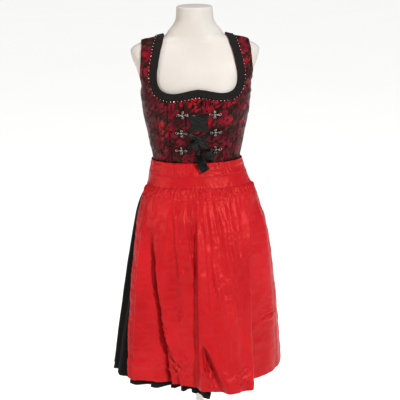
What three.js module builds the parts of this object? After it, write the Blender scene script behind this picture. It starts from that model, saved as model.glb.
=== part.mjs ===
// Dirndl with a laced bodice, a black pleated skirt and a red apron, worn by a white dress form on a stand.
// Millimetres, +Z up. The front faces -Y, and the origin lies under the middle of the base plate.
import * as THREE from "three";

// Driving sizes
const waist = 1012; // height of the seam between bodice and skirt
const seamGap = 0.3;
const bodiceLift = 3; // from the form to the inside of the bodice
const bodiceWall = 1.6;
const skirtWall = 2;
const apronWall = 1.6;
const trimLift = 1.9; // from the bodice to what lies on it
const trimWidth = 22;
const trimWall = 1.6;
const bandTop = 1020;
const bandFoot = 979;
const yokeFoot = 943;
const pleats = 28;
const baseRadius = 170;
const baseThick = 8;
const socketRise = 22;
const poleRadius = 12.5;
const formFoot = 760;
const formHead = 1490; // height of the cut neck

const degree = Math.PI / 180;
const rows = (columns, values) =>
  values.map((row) => Object.fromEntries(columns.map((name, i) => [name, row[i]])));
const mix = (a, b, t) => a + (b - a) * t;
const clamp = (x, low = 0, high = 1) => Math.min(high, Math.max(low, x));
const ease = (from, to, x) => {
  const t = clamp((x - from) / (to - from));
  return t * t * (3 - 2 * t);
};

// One column of a table at some place, on a smooth curve through its rows that never overshoots
function along(table, key, column, at) {
  const last = table.length - 1;
  if (at <= table[0][key]) return table[0][column];
  if (at >= table[last][key]) return table[last][column];
  let i = 0;
  while (table[i + 1][key] < at) i++;
  const rise = (j) => (table[j + 1][column] - table[j][column]) / (table[j + 1][key] - table[j][key]);
  const slope = (j) => {
    if (j === 0 || j === last) return rise(Math.min(j, last - 1));
    const [a, b] = [rise(j - 1), rise(j)];
    return a * b <= 0 ? 0 : (2 * a * b) / (a + b);
  };
  const span = table[i + 1][key] - table[i][key];
  const t = (at - table[i][key]) / span;
  const [t2, t3] = [t * t, t * t * t];
  return (
    (2 * t3 - 3 * t2 + 1) * table[i][column] +
    (t3 - 2 * t2 + t) * span * slope(i) +
    (3 * t2 - 2 * t3) * table[i + 1][column] +
    (t3 - t2) * span * slope(i + 1)
  );
}

// Angles go round the body from the front (0) past the picture's right (+90) to the back (180)
function sectionRadius(angle, half, front, back, square) {
  const depth = Math.cos(angle) > 0 ? front : back;
  const across = Math.abs(Math.sin(angle) / half) ** square;
  const deep = Math.abs(Math.cos(angle) / depth) ** square;
  return (across + deep) ** (-1 / square);
}
const polar = (angle, radius, height) =>
  new THREE.Vector3(radius * Math.sin(angle), -radius * Math.cos(angle), height);

// The dress form: a general figure with cut-off shoulders
const formSections = rows(["height", "half", "front", "back", "square"], [
  [760, 154, 98, 110, 2],
  [800, 164, 103, 117, 2],
  [850, 166, 104, 119, 2],
  [900, 156, 101, 110, 2],
  [960, 138, 97, 95, 2],
  [1020, 132, 92, 87, 2],
  [1066, 140, 98, 91, 2.1],
  [1107, 148, 104, 96, 2.2],
  [1148, 156, 109, 101, 2.3],
  [1185, 162, 111, 105, 2.5],
  [1225, 166, 109, 108, 2.6],
  [1257, 169, 104, 108, 2.7],
  [1300, 180, 94, 104, 2.8],
  [1334, 193, 80, 96, 2.8],
  [1358, 198, 68, 84, 2.6],
  [1370, 189, 62, 78, 2.4],
  [1380, 171, 57, 74, 2.2],
  [1387, 154, 55, 71, 2.1],
  [1402, 92, 54, 66, 2],
  [1418, 80, 54, 62, 2],
  [1434, 67, 54, 57, 2],
  [1452, 58, 54, 55, 2],
  [1490, 55, 55, 55, 2],
]);
const bust = { height: 1178, angle: 33 * degree, rise: 15, tall: 50, wide: 21 * degree };

function formRadius(angle, height) {
  const at = (column) => along(formSections, "height", column, height);
  const mound = (side) =>
    Math.exp(-(((angle - side * bust.angle) / bust.wide) ** 2) - ((height - bust.height) / bust.tall) ** 2);
  const section = sectionRadius(angle, at("half"), at("front"), at("back"), at("square"));
  return section + bust.rise * (mound(1) + mound(-1));
}

// Moves a nearby point to the form, and gives it with the form's normal there
function onForm(guide) {
  const step = 0.5;
  const outside = (p) => Math.hypot(p.x, p.y) - formRadius(Math.atan2(p.x, -p.y), p.z);
  const point = guide.clone();
  const normal = new THREE.Vector3();
  for (let round = 0; round < 10; round++) {
    for (const axis of ["x", "y", "z"]) {
      const [more, less] = [point.clone(), point.clone()];
      more[axis] += step;
      less[axis] -= step;
      normal[axis] = (outside(more) - outside(less)) / (2 * step);
    }
    point.addScaledVector(normal, -outside(point) / normal.lengthSq());
  }
  return { point, normal: normal.normalize() };
}
const lifted = (guide, lift) => {
  const { point, normal } = onForm(guide);
  return point.addScaledVector(normal, lift);
};
// A point on the form's front (side -1) or back (side 1), from its place in the front view
function faced(x, height, side) {
  const at = (column) => along(formSections, "height", column, height);
  const share = clamp(Math.abs(x) / at("half")) ** at("square");
  const deep = at(side < 0 ? "front" : "back") * (1 - share) ** (1 / at("square"));
  return new THREE.Vector3(x, side * deep, height);
}

// Closed shapes
function solid(places, faces) {
  const at = (i) => new THREE.Vector3().fromArray(places, 3 * i);
  let volume = 0;
  for (let i = 0; i < faces.length; i += 3)
    volume += at(faces[i]).dot(at(faces[i + 1]).cross(at(faces[i + 2])));
  if (volume < 0) faces.reverse();
  const geometry = new THREE.BufferGeometry();
  geometry.setAttribute("position", new THREE.Float32BufferAttribute(places, 3));
  geometry.setIndex(faces);
  geometry.computeVertexNormals();
  return geometry;
}

// A wall of cloth: point(s, t, side) gives its inside (side 0) and its outside (side 1)
function wall(across, up, point) {
  const wide = across + 1;
  const [places, faces] = [[], []];
  for (const side of [0, 1])
    for (let j = 0; j <= up; j++)
      for (let i = 0; i < wide; i++) places.push(...point(i / across, j / up, side).toArray());
  const at = (i, j, side) => (side * (up + 1) + j) * wide + i;
  const quad = (a, b, c, d) => faces.push(a, b, c, a, c, d);
  for (let i = 0; i < across; i++) {
    for (let j = 0; j < up; j++) {
      quad(at(i, j, 1), at(i + 1, j, 1), at(i + 1, j + 1, 1), at(i, j + 1, 1));
      quad(at(i, j, 0), at(i, j + 1, 0), at(i + 1, j + 1, 0), at(i + 1, j, 0));
    }
    quad(at(i, 0, 0), at(i + 1, 0, 0), at(i + 1, 0, 1), at(i, 0, 1));
    quad(at(i, up, 1), at(i + 1, up, 1), at(i + 1, up, 0), at(i, up, 0));
  }
  for (let j = 0; j < up; j++) {
    quad(at(0, j, 1), at(0, j + 1, 1), at(0, j + 1, 0), at(0, j, 0));
    quad(at(across, j, 0), at(across, j + 1, 0), at(across, j + 1, 1), at(across, j, 1));
  }
  return solid(places, faces);
}

// A solid through rings of points, closed with a fan at each end
function stack(rings) {
  const [count, last] = [rings[0].length, rings.length - 1];
  const middle = (ring) => ring.reduce((sum, p) => sum.add(p), new THREE.Vector3()).divideScalar(count);
  const places = [...rings.flat(), middle(rings[0]), middle(rings[last])].flatMap((p) => p.toArray());
  const at = (ring, i) => ring * count + (i % count);
  const [foot, head] = [rings.length * count, rings.length * count + 1];
  const faces = [];
  for (let i = 0; i < count; i++) {
    for (let ring = 0; ring < last; ring++) {
      faces.push(at(ring, i), at(ring, i + 1), at(ring + 1, i + 1));
      faces.push(at(ring, i), at(ring + 1, i + 1), at(ring + 1, i));
    }
    faces.push(foot, at(0, i + 1), at(0, i), head, at(last, i), at(last, i + 1));
  }
  return solid(places, faces);
}

// A flat ribbon along a smooth path: width gives its width at a share of the path, and across points along it
function ribbon({ path, width, across, thick, steps }) {
  const line = new THREE.CatmullRomCurve3(path.map((p) => new THREE.Vector3(...p)));
  return wall(1, steps, (s, t, side) => {
    const heading = line.getTangentAt(t);
    const wide = new THREE.Vector3(...across);
    wide.addScaledVector(heading, -wide.dot(heading)).normalize();
    const out = new THREE.Vector3().crossVectors(wide, heading);
    return line
      .getPointAt(t)
      .addScaledVector(wide, (s - 0.5) * width(t))
      .addScaledVector(out, (side - 0.5) * thick);
  });
}

// Materials
const paint = (color, roughness, metalness = 0) =>
  new THREE.MeshStandardMaterial({ color, roughness, metalness, side: THREE.DoubleSide });
const finishes = {
  form: paint("#f1ece6", 0.35),
  stand: paint("#e4e2de", 0.4),
  jacquard: paint("#5a1a22", 0.6),
  braid: paint("#1d1b1c", 0.9),
  ribbon: paint("#161517", 0.35),
  silver: paint("#b9b4aa", 0.35, 1),
  skirt: paint("#1b191b", 0.85),
  taffeta: paint("#cf2027", 0.4),
};
const dirndl = new THREE.Group();
function add(name, finish, geometry) {
  const mesh = new THREE.Mesh(geometry, finishes[finish]);
  mesh.name = name;
  dirndl.add(mesh);
  return mesh;
}

// Stand: a round plate with a socket, and a pole up to the form
const baseProfile = [
  [0, 0],
  [baseRadius - 2, 0],
  [baseRadius, 2],
  [baseRadius, baseThick - 3],
  [baseRadius - 3, baseThick],
  [24, baseThick],
  [20, baseThick + socketRise],
  [0, baseThick + socketRise],
];
const turned = (profile, segments) =>
  new THREE.LatheGeometry(profile.map((p) => new THREE.Vector2(...p)), segments).rotateX(Math.PI / 2);
add("stand_base", "stand", turned(baseProfile, 28));
const poleFoot = baseThick + socketRise + seamGap;
const poleHead = formFoot - seamGap;
const pole = new THREE.CylinderGeometry(poleRadius, poleRadius, poleHead - poleFoot, 16);
add("stand_pole", "stand", pole.rotateX(Math.PI / 2)).position.z = (poleFoot + poleHead) / 2;

// Form: rings from its flat foot to the cut neck, which leans a little forward
const formHeights = [
  760, 764, 800, 850, 905, 955, 1020, 1060, 1100, 1135, 1165, 1195, 1225, 1257, 1290, 1318, 1338, 1352,
  1362, 1371, 1379, 1387, 1395, 1402, 1412, 1428, 1446, 1486, formHead,
];
const formColumns = 30;
const formEdge = 3; // rounds the two cut edges
const neckLean = { angle: 3 * degree, from: 1440 };
const formRing = (height) =>
  Array.from({ length: formColumns }, (_, i) => {
    const angle = (i / formColumns) * 2 * Math.PI;
    const edge = height === formFoot || height === formHead ? formEdge : 0;
    const p = polar(angle, formRadius(angle, height) - edge, height);
    p.z += ease(neckLean.from, formHead, height) * Math.tan(neckLean.angle) * p.y;
    return p;
  });
add("form_torso", "form", stack(formHeights.map(formRing)));

// Bodice. Each edge is a table of places on the body, for the picture's right half; the left is its mirror.
const neckline = rows(["x", "z"], [
  [0, 1247],
  [21, 1244],
  [42, 1239],
  [68, 1234],
  [89, 1236],
  [109, 1246],
  [119, 1264],
  [121, 1291],
  [117, 1319],
  [108, 1361],
]);
const necklineFront = [
  ...neckline.map((p) => faced(p.x, p.z, -1)),
  new THREE.Vector3(98, -38, 1386),
  new THREE.Vector3(94, -18, 1398),
  new THREE.Vector3(92, 0, 1402),
];
const armholeFront = [
  faced(167, 1214, -1),
  faced(165, 1238, -1),
  faced(169, 1285, -1),
  faced(168, 1324, -1),
  faced(166, 1356, -1),
  new THREE.Vector3(164, -30, 1374),
  new THREE.Vector3(162, 0, 1382),
];
const necklineBack = [
  faced(0, 1296, 1),
  faced(40, 1297, 1),
  faced(70, 1301, 1),
  faced(88, 1313, 1),
  faced(94, 1336, 1),
  faced(95, 1366, 1),
  new THREE.Vector3(94, 46, 1388),
  new THREE.Vector3(93, 20, 1399),
  new THREE.Vector3(92, 0, 1402),
];
const armholeBack = [
  faced(167, 1214, 1),
  faced(158, 1240, 1),
  faced(149, 1285, 1),
  faced(150, 1330, 1),
  faced(156, 1361, 1),
  new THREE.Vector3(160, 36, 1374),
  new THREE.Vector3(162, 0, 1382),
];
const seams = { centre: 41, princess: 85, backWaist: 52, backNeck: 74 };
const sideSeam = { waist: 132, top: 167, head: 1214 }; // how far out it is at its two ends, and its upper height

const smooth = (points) => new THREE.CatmullRomCurve3(points, false, "centripetal");
const frontNeck = smooth(necklineFront);
const frontArm = smooth(armholeFront);
const backNeck = smooth(necklineBack);
const backArm = smooth(armholeBack);

// The share of a curve's length at which it first goes past x
function shareAt(curve, x) {
  let share = 0;
  while (share < 1 && curve.getPointAt(share).x < x) share += 0.001;
  return share;
}
const neckHeight = (curve, x) => curve.getPointAt(shareAt(curve, Math.abs(x))).z;

// Gathers under the neckline: ripples on the outside that fade down the panel
const gathers = { pitch: 9.5, rise: 2.4, start: 4, full: 10, fall: 16, long: 66 };
function gatherRise(x, below) {
  const starts = ease(trimWidth + gathers.start, trimWidth + gathers.full, below);
  const fade = starts * (1 - ease(trimWidth + gathers.fall, gathers.long, below));
  return gathers.rise * fade * (0.5 + 0.5 * Math.cos((2 * Math.PI * x) / gathers.pitch));
}

// Panels between two upright seams, each seam given by its x at the waist and at the neckline
const seamRows = [0, 0.2, 0.4, 0.58, 0.71, 0.8, 0.86, 1];
const half = seamGap / 2;
function seamPoint(curve, x, t, side) {
  return faced(x, mix(waist, neckHeight(curve, x), t), side);
}
function uprightPanel(curve, side, from, to, across) {
  return wall(across, seamRows.length - 1, (s, t, face) => {
    const share = seamRows[Math.round(t * (seamRows.length - 1))];
    const x = mix(mix(from.waist, from.neck, share), mix(to.waist, to.neck, share), s);
    const { point, normal } = onForm(seamPoint(curve, x, share, side));
    const relief = side < 0 ? gatherRise(x, neckHeight(curve, x) - point.z) : 0;
    return point.addScaledVector(normal, bodiceLift + face * (bodiceWall + relief));
  });
}
const straight = (x) => ({ waist: x, neck: x });
const gatherColumns = (width) => 2 * Math.round(width / gathers.pitch);
function addUpright(name, curve, side, from, to, across) {
  add(name, "jacquard", uprightPanel(curve, side, from, to, across));
}
addUpright("bodice_front_centre", frontNeck, -1, straight(half - seams.centre), straight(seams.centre - half),
  gatherColumns(2 * seams.centre));
addUpright("bodice_front_inner_left", frontNeck, -1, straight(half - seams.princess), straight(-seams.centre - half),
  gatherColumns(seams.princess - seams.centre));
addUpright("bodice_front_inner_right", frontNeck, -1, straight(seams.centre + half), straight(seams.princess - half),
  gatherColumns(seams.princess - seams.centre));
addUpright("bodice_back_centre", backNeck, 1, { waist: half - seams.backWaist, neck: half - seams.backNeck },
  { waist: seams.backWaist - half, neck: seams.backNeck - half }, 8);

// Panels at the side: a seam up to the neckline, then the strap up to the shoulder seam
const strapRows = 10;
const sideColumns = 6;
function sidePanel(side, face, seam, neckCurve, armCurve) {
  const neckFrom = shareAt(neckCurve, seam.neck);
  const lastSeam = seamRows.length - 1;
  const gap = side * half;
  const onSeam = (share) => seamPoint(neckCurve, mix(seam.waist, seam.neck, share) + half, share, side);
  const onSide = (share) => new THREE.Vector3(mix(sideSeam.waist, sideSeam.top, share), gap, mix(waist, sideSeam.head, share));
  return wall(sideColumns, lastSeam + strapRows, (s, t, cloth) => {
    const row = Math.round(t * (lastSeam + strapRows));
    const share = row <= lastSeam ? seamRows[row] : (row - lastSeam) / strapRows;
    const strap = row > lastSeam;
    const inner = strap ? neckCurve.getPointAt(mix(neckFrom, 1, share)) : onSeam(share);
    const outer = strap ? armCurve.getPointAt(share) : onSide(share);
    const guide = inner.lerp(outer, s);
    guide.x *= face;
    const place = lifted(guide, bodiceLift + cloth * bodiceWall);
    const end = row === lastSeam + strapRows || (s === 1 && row <= lastSeam);
    return end ? place.setY(gap) : place;
  });
}
for (const [name, face] of [["left", -1], ["right", 1]]) {
  const front = { waist: seams.princess, neck: seams.princess };
  const back = { waist: seams.backWaist, neck: seams.backNeck };
  add(`bodice_front_outer_${name}`, "jacquard", sidePanel(-1, face, front, frontNeck, frontArm));
  add(`bodice_back_side_${name}`, "jacquard", sidePanel(1, face, back, backNeck, backArm));
}

// Neck trim: a flat band that lies on the bodice along the neckline, in a front and a back length
const upright = 0.4; // from this share of the neckline on, it runs more up than across
function trimBand(curve, steps, seamY) {
  const outerLift = bodiceLift + bodiceWall + trimLift;
  return wall(1, 2 * steps, (s, t, face) => {
    const share = Math.abs(2 * t - 1);
    const here = curve.getPointAt(share);
    const inward = new THREE.Vector3().crossVectors(onForm(here).normal, curve.getTangentAt(share));
    if (share > upright ? inward.x < 0 : inward.z > 0) inward.negate();
    const guide = here.addScaledVector(inward.normalize(), s * trimWidth);
    guide.x *= t < 0.5 ? -1 : 1;
    const place = lifted(guide, outerLift + face * trimWall);
    return share === 1 ? place.setY(seamY) : place;
  });
}
add("neck_trim_front", "braid", trimBand(frontNeck, 26, -half));
add("neck_trim_back", "braid", trimBand(backNeck, 18, half));

// Skirt and apron share one outer shape, measured round the body
const outerSections = rows(["height", "left", "right", "front", "back"], [
  [300, 286, 272, 209, 262],
  [376, 274, 267, 203, 250],
  [480, 259, 259, 194, 234],
  [583, 243, 250, 183, 216],
  [650, 232, 242, 174, 203],
  [750, 215, 229, 160, 182],
  [823, 201, 215, 147, 166],
  [866, 190, 201, 137, 152],
  [900, 178, 189, 128, 138],
  [954, 154, 164, 113, 113],
  [995, 147, 149, 105, 103],
  [1020, 141, 142, 101, 97],
]);
// Large folds at the hem: how far the cloth stands out from that shape
const hemFolds = rows(["angle", "out"], [
  [-180, 4],
  [-150, -12],
  [-122, 6],
  [-90, 0],
  [-66, 2],
  [-50, -30],
  [-26, -44],
  [-10, -32],
  [2, -6],
  [22, 34],
  [36, 18],
  [50, -28],
  [66, -22],
  [84, -4],
  [97, 0],
  [112, 26],
  [128, 6],
  [152, -14],
  [180, 4],
]);
const drape = { top: 905, foot: 310, growth: 1.25 };
const skirtSquare = 2.1;
function outerRadius(angle, height) {
  const at = (column) => along(outerSections, "height", column, height);
  const section = sectionRadius(angle, at(angle < 0 ? "left" : "right"), at("front"), at("back"), skirtSquare);
  const fade = clamp((drape.top - height) / (drape.top - drape.foot)) ** drape.growth;
  return section + fade * along(hemFolds, "angle", "out", angle / degree);
}

// The apron's threads fan out from the yoke: each has a turn round the body there and another at the hem
const apronThreads = rows(["top", "hem"], [
  [-86, -64],
  [-60, -57],
  [-8, -8],
  [22, 25],
  [64, 37],
  [72, 56],
  [92, 90],
]);
const fan = { foot: 330, growth: 0.6 };
const apronTurn = (thread, share) =>
  mix(thread, along(apronThreads, "top", "hem", thread), clamp(share) ** fan.growth);
const apronShare = (height) => (yokeFoot - height) / (yokeFoot - fan.foot);
const threadAt = (turn, share) =>
  mix(turn, along(apronThreads, "hem", "top", turn), clamp(share) ** fan.growth);

// Folds of the apron: the thread of each at its top and foot, how deep it is, and how wide on its left and right
const apronFolds = rows(["top", "foot", "from", "to", "bend", "out", "left", "right"], [
  [-62, -33, 830, 332, 0.65, -18, 3.5, 3],
  [-4.5, -4.5, 905, 318, 1, 12, 1.6, 11],
  [-68, -64, 900, 318, 1, 9, 5, 6],
  [10, 12, 915, 500, 1, 5, 3, 4],
  [24, 24, 915, 480, 1, 6, 3, 4],
  [38, 40, 915, 600, 1, 5, 3, 4],
  [63, 63, 935, 318, 1, 12, 14, 2.2],
  [-23, -20, 915, 560, 1, 6, 3.5, 4],
  [-38, -40, 915, 640, 1, 6, 3.5, 3.5],
  [78, 78, 915, 330, 1, 7, 4, 4],
  [-2, 9, 480, 322, 1, -11, 5, 2],
]);
function foldRise(fold, thread, height) {
  const share = (fold.from - height) / (fold.from - fold.to);
  if (share <= 0) return 0;
  const offset = thread - mix(fold.top, fold.foot, clamp(share) ** fold.bend);
  const size = offset / (offset < 0 ? fold.left : fold.right);
  const fade = ease(0, 0.25, share) * (1 - ease(1, 1.2, share));
  return fold.out * fade * Math.exp(-size * size);
}
const apronRise = (thread, height) =>
  apronFolds.reduce((sum, fold) => sum + foldRise(fold, thread, height), 0);

// Small gathers under the apron's yoke
const apronHems = rows(["thread", "height"], [
  [-86, 340],
  [-50, 335],
  [-10, 322],
  [24, 318],
  [60, 319],
  [65, 323],
  [76, 332],
  [90, 352],
]);
const apronGathers = { count: 30, rise: 6, long: 150, full: 14, fall: 20 };
function apronGather(s, height) {
  const below = yokeFoot - height;
  const crest = Math.round(s * apronGathers.count * 2);
  const uneven = 0.65 + 0.35 * Math.sin(crest * 2.4);
  const long = apronGathers.long * (0.55 + 0.45 * Math.sin(crest * 1.7 + 1));
  const fade = ease(0, apronGathers.full, below) * (1 - ease(apronGathers.fall, long, below));
  return crest % 2 ? apronGathers.rise * uneven * fade : 0;
}

// Skirt: five gores of pleats that open towards the hem
const pleatDepth = rows(["height", "deep"], [
  [300, 27],
  [700, 20],
  [823, 16],
  [895, 11],
  [940, 6],
  [980, 2.5],
  [1020, 1],
]);
const skirtHems = rows(["angle", "height"], [
  [-180, 326],
  [-100, 336],
  [-78, 338],
  [-66, 322],
  [-36, 304],
  [-10, 298],
  [-2, 288],
  [5, 290],
  [10, 320],
  [80, 350],
  [112, 362],
  [140, 340],
  [180, 326],
]);
const apronGap = rows(["height", "gap"], [
  [300, 5],
  [900, 5],
  [943, 2.6],
  [979, 2],
  [1020, 1.6],
]);
const pleatCorners = rows(["at", "deep"], [
  [0, 0.12],
  [0.3, 0],
  [0.54, 0.85],
  [0.78, 1],
]);
// The skirt keeps below the lowest of the apron's folds near each place
function lowestRise(turn, height) {
  const thread = threadAt(turn, apronShare(height));
  return Math.min(0, ...[-7, -5, -2.5, 0, 2.5, 5, 7].map((beside) => apronRise(thread + beside, height)));
}
const cover = { before: 14, start: 3, end: 96, after: 108 }; // where the apron's sides leave the skirt free
const waistInset = { from: 880, to: 960, deep: 5 };
function skirtRadius(angle, height, deep) {
  const turn = angle / degree;
  const leftEdge = apronTurn(apronThreads[0].top, apronShare(height));
  const covered =
    ease(leftEdge - cover.before, leftEdge - cover.start, turn) * (1 - ease(cover.end, cover.after, turn));
  const under = apronWall + along(apronGap, "height", "gap", height) - lowestRise(turn, height);
  const atWaist = ease(waistInset.from, waistInset.to, height) * waistInset.deep;
  const inset = mix(atWaist, Math.max(under, atWaist), covered);
  return outerRadius(angle, height) - inset - deep * along(pleatDepth, "height", "deep", height);
}
const skirtRows = [1, 0.95, 0.885, 0.78, 0.6, 0.32, 0];
function gore(firstPleat, lastPleat) {
  const corners = [];
  for (let pleat = firstPleat; pleat < lastPleat; pleat++)
    for (const corner of pleatCorners) corners.push({ turn: pleat + corner.at, deep: corner.deep });
  corners.push({ turn: lastPleat, deep: pleatCorners[0].deep });
  const last = corners.length - 1;
  return wall(last, skirtRows.length - 1, (s, t, side) => {
    const column = Math.round(s * last);
    const share = skirtRows[Math.round(t * (skirtRows.length - 1))];
    const turn = corners[column].turn * (360 / pleats) - 180;
    const foot = along(skirtHems, "angle", "height", turn);
    const height = mix(foot, waist - seamGap, share);
    const radius = (at) => skirtRadius(at, height, corners[column].deep) - (1 - side) * skirtWall;
    const gap = column === 0 ? half : column === last ? -half : 0;
    const angle = turn * degree;
    return polar(angle + gap / radius(angle), radius(angle), height);
  });
}
const gores = rows(["name", "from", "to"], [
  ["skirt_back_left", 0, 5],
  ["skirt_side_left", 5, 9],
  ["skirt_front", 9, 19],
  ["skirt_side_right", 19, 23],
  ["skirt_back_right", 23, 28],
]);
for (const { name, from, to } of gores) add(name, "skirt", gore(from, to));

// Apron: gathered panel, smooth yoke, and the crinkled band that goes on as the ties
const apronRows = [0, 0.03, 0.08, 0.16, 0.28, 0.44, 0.62, 0.81, 1];
const apronColumns = apronGathers.count * 2;
add("apron_panel", "taffeta", wall(apronColumns, apronRows.length - 1, (s, t, side) => {
  const share = apronRows[Math.round(t * (apronRows.length - 1))];
  const thread = mix(apronThreads[0].top, apronThreads.at(-1).top, s);
  const height = mix(yokeFoot - seamGap, along(apronHems, "thread", "height", thread), share);
  const angle = apronTurn(thread, share) * degree;
  const out = apronRise(thread, height) + apronGather(s, height);
  return polar(angle, outerRadius(angle, height) + out - (1 - side) * apronWall, height);
}));
const yokeTurns = { left: -88, right: 93 };
add("apron_yoke", "taffeta", wall(32, 1, (s, t, side) => {
  const height = mix(yokeFoot, bandFoot - seamGap, t);
  const angle = mix(yokeTurns.left, yokeTurns.right, s) * degree;
  return polar(angle, outerRadius(angle, height) - (1 - side) * apronWall, height);
}));

// A stretch of the waist band, with crinkles that run up and down it
const bandInset = 1.2;
function bandStretch(from, to, columns) {
  return wall(columns, 2, (s, t, side) => {
    const height = mix(bandFoot, bandTop, t);
    const angle = mix(from, to, s) * degree;
    const crest = Math.round(s * columns);
    const uneven = 0.8 + 1.2 * Math.sin(crest * 1.9) ** 2;
    const crinkle = side * (crest % 2) * uneven * Math.sin(Math.PI * clamp(t, 0.1, 0.9));
    return polar(angle, outerRadius(angle, height) - bandInset - (1 - side) * apronWall + crinkle, height);
  });
}
const [tieStart, tieSeam, seamTurn] = [176, 100, 0.1];
add("apron_band", "taffeta", bandStretch(seamTurn - tieSeam, tieSeam - seamTurn, 48));
add("apron_tie_left", "taffeta", bandStretch(-tieStart, -tieSeam - seamTurn, 18));
add("apron_tie_right", "taffeta", bandStretch(tieSeam + seamTurn, tieStart, 18));

// Bow at the back: knot, two loops and two tails
const backY = outerRadius(Math.PI, 1000);
const bowZ = 999;
const bowCloth = 1.4;
// A knot: rings at some heights from its middle, each with its share of the full size
function knot({ middle, wide, deep, rings, count }) {
  return stack(rings.map(([z, size]) =>
    Array.from({ length: count }, (_, i) => {
      const turn = (i / count) * 2 * Math.PI;
      const [x, y] = [wide * size * Math.cos(turn), deep * size * Math.sin(turn)];
      return new THREE.Vector3(x, y, z).add(middle);
    }),
  ));
}
add("apron_bow_knot", "taffeta", knot({
  middle: new THREE.Vector3(0, backY + 10.2, bowZ),
  wide: 16,
  deep: 9.5,
  rings: [[-17, 0.72], [-12, 1], [0, 0.9], [12, 1], [17, 0.72]],
  count: 12,
}));
for (const [name, side] of [["left", -1], ["right", 1]]) {
  const drop = (x, y, z) => [side * x, backY + y, bowZ + z];
  const onSkirt = (x, height, lift) => {
    const angle = Math.PI - Math.atan2(side * x, backY + 60);
    return polar(angle, outerRadius(angle, height) + lift, height).toArray();
  };
  add(`apron_bow_loop_${name}`, "taffeta", ribbon({
    path: [
      drop(16.7, 6.5, 2), drop(45, 7, 3), drop(85, 5, -6), drop(112, 4, -24), drop(118, 16, -36),
      drop(104, 30, -34), drop(70, 30, -16), drop(40, 22, -4), drop(17, 12.5, -1),
    ],
    width: (t) => 30 + 16 * Math.sin(Math.PI * t),
    across: [0, 0, 1],
    thick: bowCloth,
    steps: 22,
  }));
  add(`apron_bow_tail_${name}`, "taffeta", ribbon({
    path: [
      drop(12, 8, -17.6), onSkirt(20, 950, 13), onSkirt(36, 890, 9), onSkirt(45, 810, 8), onSkirt(50, 720, 8),
      onSkirt(52, 630, 8),
    ],
    width: (t) => 19 + 25 * Math.min(1, 4 * t),
    across: [1, -0.12 * side, 0],
    thick: bowCloth,
    steps: 14,
  }));
}

// Lacing hooks: a cast plate with a ring on its inner side, two scrolls and a leaf
const hookHeights = [1175, 1119, 1062];
const hookX = 50;
const hookThick = 2.2;
const hookLift = 1.2;
const faceLift = bodiceLift + bodiceWall;
const ring = { x: -13, outside: 4.4, inside: 2.2 };
const scroll = { out: 8.5, size: 4.2 };
function hookShape() {
  const outline = new THREE.Shape();
  outline.moveTo(-9, 1.6);
  outline.absarc(ring.x, 0, ring.outside, 0.4, -0.4 + 2 * Math.PI, false);
  outline.lineTo(-3, -3);
  outline.absarc(0, -scroll.out, scroll.size, 2.2, 0.6 + 1.5 * Math.PI, false);
  outline.lineTo(6, -3.5);
  outline.quadraticCurveTo(14, -6, 20, 0);
  outline.quadraticCurveTo(14, 6, 6, 3.5);
  outline.absarc(0, scroll.out, scroll.size, 0.5 * Math.PI - 0.6, -2.2 + 2 * Math.PI, false);
  outline.lineTo(-3, 3);
  outline.holes.push(new THREE.Path().absarc(ring.x, 0, ring.inside, 0, 2 * Math.PI, true));
  return outline;
}
hookHeights.forEach((height, row) => {
  for (const [name, side] of [["left", -1], ["right", 1]]) {
    const { point, normal } = onForm(faced(side * hookX, height, -1));
    const geometry = new THREE.ExtrudeGeometry(hookShape(), { depth: hookThick, bevelEnabled: false, curveSegments: 3 });
    geometry.deleteAttribute("normal");
    geometry.deleteAttribute("uv");
    const mesh = add(`hook_${row + 1}_${name}`, "silver", geometry);
    const across = new THREE.Vector3(side, 0, 0).addScaledVector(normal, -side * normal.x).normalize();
    const up = new THREE.Vector3().crossVectors(normal, across);
    mesh.quaternion.setFromRotationMatrix(new THREE.Matrix4().makeBasis(across, up, normal));
    mesh.position.copy(point).addScaledVector(normal, faceLift + hookLift);
  }
});

// Lacing of satin ribbon that lies on the bodice, each length at its own height above it
const satin = { thick: 1, least: 9 };
function laidRibbon([fromX, fromZ], [toX, toZ], lift, most) {
  const heading = new THREE.Vector2(toX - fromX, toZ - fromZ).normalize();
  return wall(3, 7, (s, t, side) => {
    const width = mix(satin.least, most, ease(0, 0.3, t) * (1 - ease(0.7, 1, t)));
    const wide = (s - 0.5) * width;
    const [x, z] = [mix(fromX, toX, t) - heading.y * wide, mix(fromZ, toZ, t) + heading.x * wide];
    return lifted(faced(x, z, -1), faceLift + lift + side * satin.thick);
  });
}
const ringX = hookX + ring.x - 4.6;
const lacing = rows(["name", "side", "high", "low", "lift", "most"], [
  ["ribbon_cross_upper_under", 1, 1175, 1119, 0.8, 33],
  ["ribbon_cross_upper_over", -1, 1175, 1119, 2.4, 33],
  ["ribbon_cross_lower_under", 1, 1114, 1064, 0.8, 21],
  ["ribbon_cross_lower_over", -1, 1114, 1064, 2.4, 21],
]);
for (const { name, side, high, low, lift, most } of lacing)
  add(name, "ribbon", laidRibbon([side * ringX, high], [-side * ringX, low], lift, most));

// Ribbon bow: a knot, two loops and a cut end
const bowLift = 5.3;
const bowAt = lifted(faced(0, 1056, -1), faceLift + bowLift);
add("ribbon_knot", "ribbon", knot({
  middle: bowAt,
  wide: 7,
  deep: 4.5,
  rings: [[-8, 0.65], [-5, 1], [0, 0.85], [5, 1], [8, 0.65]],
  count: 10,
}));
const fromBow = (x, y, z) => [bowAt.x + x, bowAt.y + y, bowAt.z + z];
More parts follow.
